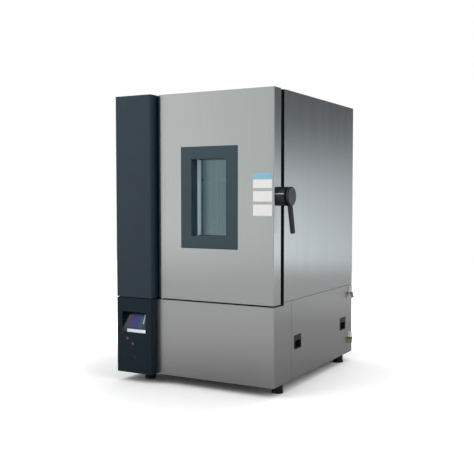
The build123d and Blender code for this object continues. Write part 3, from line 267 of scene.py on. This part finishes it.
def glowing(name, color, glow, rough=0.15, variation=0.2):
    """Lit screen, or a pale surface given a little painted light of its own."""
    s = Shader(name)
    s.tones(s.noise((30, 8, 30), 2.0), color, variation)
    s.set(Roughness=rough, **{"Emission Color": (*color, 1.0), "Emission Strength": glow,
                              "Specular IOR Level": 0.3})
    return s.material


STEEL = (0.60, 0.61, 0.60)
MATERIALS = {
    "stainless": brushed("stainless_vertical", STEEL),
    "stainless_top": brushed("stainless_lengthwise", STEEL, grain="Y"),
    "liner_steel": brushed("liner_steel", (0.60, 0.65, 0.67), rough=0.40, anisotropy=0.3, variation=0.16,
                           coarse=0.035),
    "galvanised": metal("galvanised", (0.50, 0.52, 0.53), rough=0.45, variation=0.06, grain_scale=60.0),
    "column_paint": coated("column_paint", (0.010, 0.027, 0.045), rough=0.38, coat=0.10),
    "column_lower_paint": coated("column_lower_paint", (0.004, 0.015, 0.026), rough=0.5, coat=0.0,
                                 shine=0.3),
    "window_frame_paint": coated("window_frame_paint", (0.030, 0.060, 0.078), rough=0.36, coat=0.15),
    "display_bezel": coated("display_bezel", (0.010, 0.013, 0.016), rough=0.25, coat=0.5),
    "display_glass": coated("display_glass", (0.006, 0.007, 0.010), rough=0.12, coat=0.8),
    "button_red": coated("button_red", (0.22, 0.05, 0.08), rough=0.3, coat=0.6),
    "key_metal": metal("key_metal", (0.30, 0.30, 0.32)),
    "bright_metal": metal("bright_metal", (0.75, 0.74, 0.78), rough=0.18),
    "black_steel": metal("black_steel", (0.03, 0.03, 0.035), rough=0.4),
    "black_plastic": coated("black_plastic", (0.010, 0.011, 0.013), rough=0.42, coat=0.1, peel=0.08),
    "handle_black": coated("handle_black", (0.014, 0.015, 0.021), rough=0.36, coat=0.2, peel=0.05),
    "black_rubber": rubber("black_rubber", (0.010, 0.010, 0.010)),
    "seal_black": rubber("seal_black", (0.002, 0.002, 0.002), rough=0.9, shine=0.1),
    "foam": foam("foam", (0.72, 0.66, 0.42)),
    "window_glass": clear_glass("window_glass", (0.66, 0.92, 1.0)),
    "shelf_wire": metal("shelf_wire", (0.62, 0.63, 0.65), rough=0.2),
    "fin_aluminium": brushed("fin_aluminium", (0.66, 0.67, 0.68), rough=0.35, anisotropy=0.3),
    "heater_steel": metal("heater_steel", (0.26, 0.23, 0.21), rough=0.35, variation=0.25,
                          grain_scale=20.0),
    "motor_grey": coated("motor_grey", (0.12, 0.13, 0.14), rough=0.45),
    "plug_silicone": rubber("plug_silicone", (0.70, 0.69, 0.65), rough=0.55),
    "compressor_black": coated("compressor_black", (0.012, 0.012, 0.014), rough=0.28, coat=0.5),
    "fan_plastic": coated("fan_plastic", (0.02, 0.02, 0.022), rough=0.45),
    "copper": metal("copper", (0.70, 0.33, 0.19), rough=0.25),
    "electrical_grey": coated("electrical_grey", (0.46, 0.47, 0.47), rough=0.5, coat=0.0),
    "white_plastic": coated("white_plastic", (0.78, 0.77, 0.72), rough=0.35),
    "brass": metal("brass", (0.50, 0.31, 0.13), rough=0.3),
    # The white card glows a little though it is no lamp: painted light
    "card_white_painted_glow": glowing("card_white_painted_glow", (0.86, 0.86, 0.84), 0.12, rough=0.5, variation=0.015),
    "card_blue": coated("card_blue", (0.30, 0.58, 0.72), rough=0.5, coat=0.1),
    "card_line": coated("card_line", (0.52, 0.54, 0.55), rough=0.5, coat=0.1),
    # The pale sill strip glows though it is no lamp: painted light
    "sill_white_painted_glow": glowing("sill_white_painted_glow", (0.70, 0.80, 0.90), 0.22),
    "screen_violet": glowing("screen_violet", (0.032, 0.030, 0.120), 0.5),
    "screen_teal": glowing("screen_teal", (0.028, 0.066, 0.108), 0.5),
    "screen_pale": glowing("screen_pale", (0.30, 0.34, 0.42), 0.45),
    # The spacer glows though it is no lamp: painted light on the lit left bar
    "spacer": glowing("spacer", (0.55, 0.72, 0.80), 0.27, rough=0.4, variation=0.05),
    "screw": metal("screw", (0.55, 0.55, 0.55), rough=0.3),
}
LENGTHWISE = ("top_panel",)


def dress(obj, material):
    obj.data.materials.clear()
    obj.data.materials.append(material)


def dress_frame():
    """Every solid gets the material of its slot."""
    for entry in frame["record"]["subparts"]:
        node = entry["node"]
        slot = "stainless_top" if node in LENGTHWISE else entry["material_slot"]
        dress(nodes[node], MATERIALS[slot])


# Small pieces that ride on the frame


def piece(name, body, material, build):
    """A mesh built in the row frame that moves with a body."""
    mesh = bpy.data.meshes.new(name)
    shape = bmesh.new()
    build(shape)
    bmesh.ops.recalc_face_normals(shape, faces=shape.faces)
    shape.to_mesh(mesh)
    shape.free()
    obj = bpy.data.objects.new(name, mesh)
    bpy.context.scene.collection.objects.link(obj)
    dress(obj, MATERIALS[material])
    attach(obj, body)


def box_piece(name, body, material, lowest, highest):
    """A box between two corners that moves with a body."""
    def build(shape):
        made = bmesh.ops.create_cube(shape, size=1.0)
        bmesh.ops.scale(shape, vec=Vector(highest) - Vector(lowest), verts=made["verts"])
        bmesh.ops.translate(shape, vec=(Vector(highest) + Vector(lowest)) / 2, verts=made["verts"])
    piece(name, body, material, build)


# Card on the door, measured from the cabinet's right front lower corner
CARD_WIDE = (0.014, 0.138)
CARD_TALL = (1.014, 1.267)
CARD_THICK = 0.0006
# Bands on the card: (name, material, start and end upwards, as shares)
CARD_BANDS = (
    ("card_header", "card_blue", 0.84, 1.0),
    ("card_divider_a", "card_line", 0.57, 0.64),
    ("card_divider_b", "card_line", 0.26, 0.33),
)


def make_card():
    """Blank card holder on the door, with a plain header band and two divider lines; the white card glows a
    little, which is painted light.
    """
    x0 = RIGHT - CARD_WIDE[1]
    x1 = RIGHT - CARD_WIDE[0]
    z0 = BOTTOM + CARD_TALL[0]
    z1 = BOTTOM + CARD_TALL[1]
    face = DOOR_FRONT - CARD_THICK
    lap = CARD_THICK / 3
    box_piece("door_card", "door", "card_white_painted_glow", (x0, face, z0), (x1, DOOR_FRONT + CARD_THICK / 2, z1))
    tall = z1 - z0
    for name, material, start, end in CARD_BANDS:
        box_piece(name, "door", material, (x0, face - lap, z0 + tall * start),
                  (x1, face + lap, z0 + tall * end))


# Fields on the display: (name, material, start and end across, start and end upwards), as shares
SCREEN_FIELDS = (
    ("screen_main", "screen_violet", 0.22, 0.70, 0.03, 0.80),
    ("screen_side", "screen_teal", 0.71, 0.91, 0.03, 0.80),
    ("screen_header", "screen_violet", 0.22, 0.91, 0.82, 0.97),
    ("screen_edge", "screen_pale", 0.92, 0.99, 0.30, 0.97),
)
FIELD_LIFT = 0.0005
# Pale strip: where it starts across the display unit, its heights, how far it stands out, and its end gap
SILL_START = 0.21
SILL_HEIGHTS = (0.002, 0.022)
SILL_PROUD = 0.0004
SILL_GAP = 0.001
# How far apart points of one flat face may lie
FLATNESS = 0.0002
ROUNDING = 4


def front_face(node):
    """Lowest corner, upward edge, outward normal and width of a slanted plate's front."""
    plate = nodes[node]
    turn = plate.matrix_world.to_3x3()
    front = min(plate.data.polygons, key=lambda face: (turn @ face.normal).y - face.area)
    out = (turn @ front.normal).normalized()
    spots = [plate.matrix_world @ vertex.co for vertex in plate.data.vertices]
    reach = max(spot.dot(out) for spot in spots)
    face = [spot for spot in spots if reach - spot.dot(out) < FLATNESS]
    up = out.cross(Vector((1, 0, 0)))
    if up.z < 0:
        up = -up
    corner = min(face, key=lambda spot: (round(spot.z, ROUNDING), spot.x))
    start = min(spot.x for spot in face)
    wide = max(spot.x for spot in face) - start
    tall = max((spot - corner).dot(up) for spot in face)
    return Vector((start, corner.y, corner.z)), up * tall, out, wide


def make_display():
    """Plain fields on the display glass, and the pale strip on its sill, whose glow is painted light."""
    corner, up, out, wide = front_face("display_glass")
    for name, material, x_low, x_high, z_low, z_high in SCREEN_FIELDS:
        def build(shape):
            corners = []
            for x_part, z_part in ((x_low, z_low), (x_high, z_low), (x_high, z_high), (x_low, z_high)):
                spot = corner + Vector((wide * x_part, 0, 0)) + up * z_part + out * FIELD_LIFT
                corners.append(shape.verts.new(spot))
            shape.faces.new(corners)
        piece(name, "cabinet", material, build)
    unit_low, unit_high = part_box("display_unit")
    start = unit_low.x + (unit_high.x - unit_low.x) * SILL_START
    box_piece("sill_strip", "cabinet", "sill_white_painted_glow",
              (start, unit_low.y - SILL_PROUD, unit_low.z + SILL_HEIGHTS[0]),
              (unit_high.x - SILL_GAP, unit_low.y + SILL_GAP, unit_low.z + SILL_HEIGHTS[1]))


SPACER_BAR = 0.006
PANE_THICK = 0.0052


def make_spacers():
    """Bars that hold the panes apart round the window; the left bar glows as painted light, and the other
    bars take the dark frame paint as painted shade.
    """
    pane_low, pane_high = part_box("window_panes")
    x0, z0 = pane_low.x, pane_low.z
    x1, z1 = pane_high.x, pane_high.z
    y0 = pane_low.y + PANE_THICK
    y1 = pane_high.y - PANE_THICK
    thin = SPACER_BAR / 2
    left = x0 + SPACER_BAR
    right = x1 - thin
    box_piece("spacer_left", "door", "spacer", (x0, y0, z0), (left, y1, z1))
    # These bars take the dark frame paint instead of the spacer's: painted shade
    box_piece("spacer_right", "door", "window_frame_paint", (right, y0, z0), (x1, y1, z1))
    box_piece("spacer_low", "door", "window_frame_paint", (left, y0, z0), (right, y1, z0 + thin))
    box_piece("spacer_high", "door", "window_frame_paint", (left, y0, z1 - thin), (right, y1, z1))


FLANGE_DROP = 0.010
FLANGE_THICK = 0.002
FLANGE_SIDE = 0.006


def make_sill_flange():
    """Flange that closes the top of the machine space between the front panel and the door frame."""
    frame_low, frame_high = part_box("door_frame")
    top = frame_low.z - FLANGE_DROP
    box_piece("sill_flange", "cabinet", "galvanised",
              (frame_low.x + FLANGE_SIDE, low("lower_front_panel").y + FLANGE_SIDE, top - FLANGE_THICK),
              (frame_high.x - FLANGE_SIDE, frame_high.y - FLANGE_THICK, top))


GROUND = 0.001


def foot_places():
    """Middle of each levelling foot, from the lowest points of the mesh in each quarter."""
    feet = nodes["levelling_feet"]
    spots = [feet.matrix_world @ vertex.co for vertex in feet.data.vertices]
    ground = [spot for spot in spots if spot.z < GROUND]
    places = []
    for right_side in (True, False):
        for behind in (True, False):
            mine = [spot for spot in ground if (spot.x > 0) == right_side and (spot.y > 0) == behind]
            across = [sorted(spot[axis] for spot in mine) for axis in (0, 1)]
            places.append([(values[0] + values[-1]) / 2 for values in across])
    return places


COLLAR_RADIUS = 0.033
COLLAR_HEIGHTS = (0.022, 0.052)
ROUND_SIDES = 32


def make_foot_collars():
    """Black collars round the stems of the levelling feet."""
    bottom, top = COLLAR_HEIGHTS
    for index, (x, y) in enumerate(foot_places()):
        def build(shape):
            made = bmesh.ops.create_cone(shape, cap_ends=True, segments=ROUND_SIDES, radius1=COLLAR_RADIUS,
                                         radius2=COLLAR_RADIUS, depth=top - bottom)
            bmesh.ops.translate(shape, vec=Vector((x, y, (top + bottom) / 2)), verts=made["verts"])
        piece(f"foot_collar_{index + 1}", "cabinet", "black_rubber", build)


LINE_SEAM = 0.001


def make_latch_line():
    """The bright plate's edge carried on across the latch drum."""
    plate_low, plate_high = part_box("latch_plate")
    start = low("latch_housing").x + LINE_SEAM
    box_piece("latch_line", "door", "bright_metal", (start, plate_low.y, plate_low.z),
              (plate_low.x, plate_low.y + 2 * LINE_SEAM, plate_high.z - 2 * LINE_SEAM))


# Lever grip, measured from the lowest corner of the lever: its upper and lower end, and the radii there
GRIP_ENDS = (Vector((0.0095, 0.0575, 0.192)), Vector((0.021, 0.080, 0.0006)))
GRIP_RADII = (0.0155, 0.0145)
GRIP_ROUND = 0.004


def make_grip():
    """Moulded grip over the round lever."""
    corner = low("handle_lever")
    start, end = (corner + offset for offset in GRIP_ENDS)
    axis = end - start

    def build(shape):
        bmesh.ops.create_cone(shape, cap_ends=True, segments=ROUND_SIDES, radius1=GRIP_RADII[0],
                              radius2=GRIP_RADII[1], depth=axis.length)
        rim = [edge for edge in shape.edges if all(vertex.co.z > 0 for vertex in edge.verts)]
        bmesh.ops.bevel(shape, geom=rim, offset=GRIP_ROUND, segments=3, affect="EDGES")
        turn = axis.to_track_quat("Z", "Y").to_matrix().to_4x4()
        bmesh.ops.transform(shape, matrix=turn, verts=shape.verts)
        bmesh.ops.translate(shape, vec=(start + end) / 2, verts=shape.verts)
    piece("lever_grip", "handle", "handle_black", build)


SCREW_RADIUS = 0.0045
SCREW_TOP = 0.75
SCREW_RISE = 0.0016
SCREW_SIDES = 16
SCREW_INSET = 0.014


def screw_row(name, out, spots):
    """Low round screw heads at some spots of a face."""
    way = Vector(out)
    turn = way.to_track_quat("Z", "Y").to_matrix().to_4x4()

    def build(shape):
        for spot in spots:
            made = bmesh.ops.create_cone(shape, cap_ends=True, segments=SCREW_SIDES, radius1=SCREW_RADIUS,
                                         radius2=SCREW_RADIUS * SCREW_TOP, depth=SCREW_RISE)
            bmesh.ops.transform(shape, matrix=turn, verts=made["verts"])
            bmesh.ops.translate(shape, vec=Vector(spot) + way * SCREW_RISE / 2, verts=made["verts"])
    piece(name, "cabinet", "screw", build)


def spaced(start, end, margin, count):
    """Even places between two ends, less a margin at each."""
    first = start + margin
    last = end - margin
    return [first + (last - first) * index / (count - 1) for index in range(count)]


def both_ends(start, end, margin):
    """Places near two ends, each in by a margin."""
    return (start + margin, end - margin)


def make_screws():
    """Screws that hold the rear, left and machine panels."""
    lo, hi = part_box("rear_panel")
    sides = both_ends(lo.x, hi.x, SCREW_INSET)
    spots = [(x, hi.y, z) for x in sides for z in spaced(lo.z, hi.z, 0.03, 7)]
    spots += [(x, hi.y, z) for x in spaced(lo.x, hi.x, 0.16, 4) for z in both_ends(lo.z, hi.z, SCREW_INSET)]
    screw_row("rear_screws", (0, 1, 0), spots)
    lo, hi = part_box("lower_rear_wrap")
    sides = both_ends(lo.x, hi.x, SCREW_INSET)
    spots = [(x, hi.y, z) for x in sides for z in spaced(lo.z, hi.z, 0.04, 3)]
    screw_row("wrap_screws", (0, 1, 0), spots)
    lo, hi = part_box("motor_cover")
    sides = both_ends(lo.x, hi.x, 0.01)
    spots = [(x, hi.y, z) for x in sides for z in both_ends(lo.z, hi.z, 0.01)]
    screw_row("cover_screws", (0, 1, 0), spots)
    lo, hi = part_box("left_lower_panel")
    rows = both_ends(lo.z, hi.z, SCREW_INSET)
    spots = [(lo.x, y, z) for y in spaced(lo.y, hi.y, 0.05, 5) for z in rows]
    screw_row("left_screws", (-1, 0, 0), spots)
    lo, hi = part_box("column_upper_cover")
    behind = hi.y - SCREW_INSET
    spots = [(lo.x, behind, z) for z in spaced(lo.z, hi.z, 0.06, 5)]
    screw_row("column_screws", (-1, 0, 0), spots)


# Stage, light and world

FLOOR_SIZE = 14.0
FLOOR_GAP = 0.001
FLOOR_WHITE = 0.95
FLOOR_ROUGH = 0.9
FLOOR_LIFT = 0.16
# Floor as the steel mirrors it, with painted shade: darker round a spot beside the cabinet, as (distance,
# share of white)
MIRRORED_FROM = (0.8, 0.6, 0.0)
FLOOR_MIRRORED = ((1.6, 0.28), (3.2, 0.43), (5.4, 0.53))
# Distances over which the floor turns as white as the background
FLOOR_FADE = (1.0, 1.9)
FADE_GLOW = 0.9


def grey(share):
    return (share, share, share, 1.0)


def floor_seen(s, place):
    """Floor for the camera: it keeps shadows nearby and turns white further off."""
    s.set(**{"Base Color": grey(FLOOR_WHITE), "Roughness": FLOOR_ROUGH, "Specular IOR Level": 0.0})
    lift = s.node("ShaderNodeBsdfDiffuse")
    lift.inputs["Color"].default_value = grey(FLOOR_LIFT)
    both = s.node("ShaderNodeAddShader")
    s.link(s.bsdf.outputs["BSDF"], both.inputs[0])
    s.link(lift.outputs["BSDF"], both.inputs[1])
    distance = s.node("ShaderNodeVectorMath", operation="LENGTH")
    s.link(place.outputs["Object"], distance.inputs[0])
    fade = s.node("ShaderNodeMapRange", interpolation_type="SMOOTHSTEP")
    for end, value in zip(("From Min", "From Max", "To Min", "To Max"), (*FLOOR_FADE, 0.0, FADE_GLOW)):
        fade.inputs[end].default_value = value
    s.link(distance.outputs["Value"], fade.inputs["Value"])
    glow = s.node("ShaderNodeEmission")
    s.link(fade.outputs["Result"], glow.inputs["Strength"])
    seen = s.node("ShaderNodeAddShader")
    s.link(both.outputs["Shader"], seen.inputs[0])
    s.link(glow.outputs["Emission"], seen.inputs[1])
    return seen.outputs["Shader"]


def floor_mirrored(s, place):
    """Floor for the steel, in steps of painted shade with the distance."""
    spot = s.node("ShaderNodeVectorMath", operation="DISTANCE")
    spot.inputs[1].default_value = MIRRORED_FROM
    s.link(place.outputs["Object"], spot.inputs[0])
    near = s.node("ShaderNodeMapRange")
    near.inputs["From Min"].default_value = 0.0
    near.inputs["From Max"].default_value = FLOOR_SIZE / 2
    s.link(spot.outputs["Value"], near.inputs["Value"])
    shades = s.node("ShaderNodeValToRGB")
    stops = shades.color_ramp.elements
    while len(stops) < len(FLOOR_MIRRORED):
        stops.new(0.5)
    for stop, (reach, share) in zip(stops, FLOOR_MIRRORED):
        stop.position = reach / (FLOOR_SIZE / 2)
        stop.color = grey(share)
    s.link(near.outputs["Result"], shades.inputs["Fac"])
    dim = s.node("ShaderNodeBsdfDiffuse")
    s.link(shades.outputs["Color"], dim.inputs["Color"])
    return dim.outputs["BSDF"]


def make_floor():
    """Pale floor under the cabinet; as the steel mirrors it, it carries painted shade round the cabinet."""
    mesh = bpy.data.meshes.new("floor")
    half = FLOOR_SIZE / 2
    corners = [(-half, -half, 0), (half, -half, 0), (half, half, 0), (-half, half, 0)]
    mesh.from_pydata(corners, [], [(0, 1, 2, 3)])
    floor = bpy.data.objects.new("floor", mesh)
    bpy.context.scene.collection.objects.link(floor)
    floor.location = (0, 0, cad_box[0][2] - FLOOR_GAP)
    s = Shader("floor")
    place = s.node("ShaderNodeTexCoord")
    path = s.node("ShaderNodeLightPath")
    mix = s.node("ShaderNodeMixShader")
    s.link(path.outputs["Is Camera Ray"], mix.inputs["Fac"])
    s.link(floor_mirrored(s, place), mix.inputs[1])
    s.link(floor_seen(s, place), mix.inputs[2])
    s.link(mix.outputs["Shader"], s.tree.nodes["Material Output"].inputs["Surface"])
    dress(floor, s.material)


AMBIENT = 0.58
LEVEL_SCALE = 2.0
# Levels that the steel mirrors: (height of the ray, brightness), behind the cabinet and before it
REAR_LEVELS = ((-0.50, 0.22), (-0.20, 0.44), (-0.13, 0.84), (-0.09, 1.21), (-0.05, 0.93), (-0.01, 0.80),
               (0.03, 0.62), (0.06, 0.31), (0.10, 0.13), (0.50, 0.12))
FRONT_LEVELS = ((-0.50, 0.26), (-0.20, 0.46), (-0.14, 0.70), (-0.08, 0.78), (0.00, 0.72), (0.10, 0.70),
                (0.50, 0.66))
REAR_TINT = (0.93, 1.0, 1.055)
FRONT_TINT = (0.97, 1.0, 0.995)
# Sideways change of those levels: (sideways part of the ray, factor)
REAR_SIDEWAYS = ((0.28, 0.16), (0.45, 1.34))
FRONT_SIDEWAYS = ((-0.62, 1.36), (-0.42, 0.80))
# Parts of a ray over which its height is mapped, and over which the front gives way to the rear
HEIGHT_RANGE = (-0.5, 0.5)
DEPTH_RANGE = (-0.25, 0.25)


def make_world():
    """White seen by the camera; the steel mirrors a studio with set levels before and behind it."""
    world = bpy.data.worlds.new("world")
    bpy.context.scene.world = world
    world.use_nodes = True
    tree = world.node_tree
    tree.nodes.clear()

    def add(kind, **settings):
        made = tree.nodes.new(kind)
        for key, value in settings.items():
            setattr(made, key, value)
        return made

    def background(strength, color=(1.0, 1.0, 1.0, 1.0)):
        made = add("ShaderNodeBackground")
        made.inputs["Color"].default_value = color
        made.inputs["Strength"].default_value = strength
        return made

    def mapped(source, start, end):
        """Map a value from one range onto another, each given as two ends."""
        node = add("ShaderNodeMapRange")
        for name, value in zip(("From Min", "From Max", "To Min", "To Max"), (*start, *end)):
            node.inputs[name].default_value = value
        tree.links.new(source, node.inputs["Value"])
        return node.outputs["Result"]

    def ramp(source, levels, tint):
        node = add("ShaderNodeValToRGB")
        elements = node.color_ramp.elements
        while len(elements) < len(levels):
            elements.new(0.5)
        for element, (place, level) in zip(elements, levels):
            element.position = place - HEIGHT_RANGE[0]
            element.color = (*scaled(tint, level / LEVEL_SCALE), 1.0)
        tree.links.new(source, node.inputs["Fac"])
        return node.outputs["Color"]

    def scaled_by(color, source, sideways):
        (low_x, low_factor), (high_x, high_factor) = sideways
        node = add("ShaderNodeVectorMath", operation="SCALE")
        tree.links.new(color, node.inputs[0])
        tree.links.new(mapped(source, (low_x, high_x), (low_factor, high_factor)), node.inputs["Scale"])
        return node.outputs["Vector"]

    coords = add("ShaderNodeTexCoord")
    split = add("ShaderNodeSeparateXYZ")
    tree.links.new(coords.outputs["Generated"], split.inputs["Vector"])
    height = mapped(split.outputs["Z"], HEIGHT_RANGE, (0.0, 1.0))
    rear = scaled_by(ramp(height, REAR_LEVELS, REAR_TINT), split.outputs["X"], REAR_SIDEWAYS)
    front = scaled_by(ramp(height, FRONT_LEVELS, FRONT_TINT), split.outputs["X"], FRONT_SIDEWAYS)
    studio = add("ShaderNodeMix", data_type="VECTOR")
    tree.links.new(mapped(split.outputs["Y"], DEPTH_RANGE, (0.0, 1.0)), studio.inputs[0])
    tree.links.new(front, studio.inputs[4])
    tree.links.new(rear, studio.inputs[5])
    mirror = background(LEVEL_SCALE)
    tree.links.new(studio.outputs[1], mirror.inputs["Color"])
    ambient = background(AMBIENT)
    white = background(1.0)
    path = add("ShaderNodeLightPath")
    glossy = add("ShaderNodeMixShader")
    tree.links.new(path.outputs["Is Glossy Ray"], glossy.inputs["Fac"])
    tree.links.new(ambient.outputs["Background"], glossy.inputs[1])
    tree.links.new(mirror.outputs["Background"], glossy.inputs[2])
    see = add("ShaderNodeMath", operation="MAXIMUM")
    tree.links.new(path.outputs["Is Camera Ray"], see.inputs[0])
    tree.links.new(path.outputs["Is Transmission Ray"], see.inputs[1])
    final = add("ShaderNodeMixShader")
    tree.links.new(see.outputs["Value"], final.inputs["Fac"])
    tree.links.new(glossy.outputs["Shader"], final.inputs[1])
    tree.links.new(white.outputs["Background"], final.inputs[2])
    out = add("ShaderNodeOutputWorld")
    tree.links.new(final.outputs["Shader"], out.inputs["Surface"])


# Soft lights: (name, place, spot that it points at, size, power)
LIGHTS = (
    ("key", (-2.2, -4.0, 4.2), (0, 0, 0.9), (3.0, 3.0), 95.0),
    ("fill", (4.2, -1.5, 3.0), (0, 0, 0.9), (3.0, 3.0), 55.0),
    ("top", (0.0, 0.4, 5.0), (0, 0, 0), (4.0, 4.0), 60.0),
    ("back", (1.0, 4.2, 3.4), (0, -0.6, 0.0), (4.0, 2.0), 70.0),
)
# Lamp in the work space: size, power, and its place forward of the middle and below the ceiling
LAMP_SIZE = (0.4, 0.5)
LAMP_POWER = 0.8
LAMP_FORWARD = 0.1
LAMP_DROP = 0.03


def area_light(name, place, target, size, power):
    """Soft light that neither the camera nor the steel sees."""
    data = bpy.data.lights.new(name, "AREA")
    data.shape = "RECTANGLE"
    data.size, data.size_y = size
    data.energy = power
    light = bpy.data.objects.new(name, data)
    light.location = place
    light.rotation_euler = (Vector(target) - Vector(place)).to_track_quat("-Z", "Y").to_euler()
    light.visible_glossy = False
    light.visible_camera = False
    bpy.context.scene.collection.objects.link(light)


def make_lights():
    for settings in LIGHTS:
        area_light(*settings)
    inside_low, inside_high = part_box("inner_liner")
    centre = (inside_low + inside_high) / 2
    place = (centre.x, centre.y - LAMP_FORWARD, inside_high.z - LAMP_DROP)
    area_light("chamber_lamp", place, (centre.x, centre.y, inside_low.z), LAMP_SIZE, LAMP_POWER)


scene = bpy.context.scene
scene.view_settings.view_transform = "Standard"
make_camera()
make_world()
make_floor()
make_lights()
dress_frame()
make_card()
make_display()
make_spacers()
make_sill_flange()
make_foot_collars()
make_latch_line()
make_grip()
make_screws()
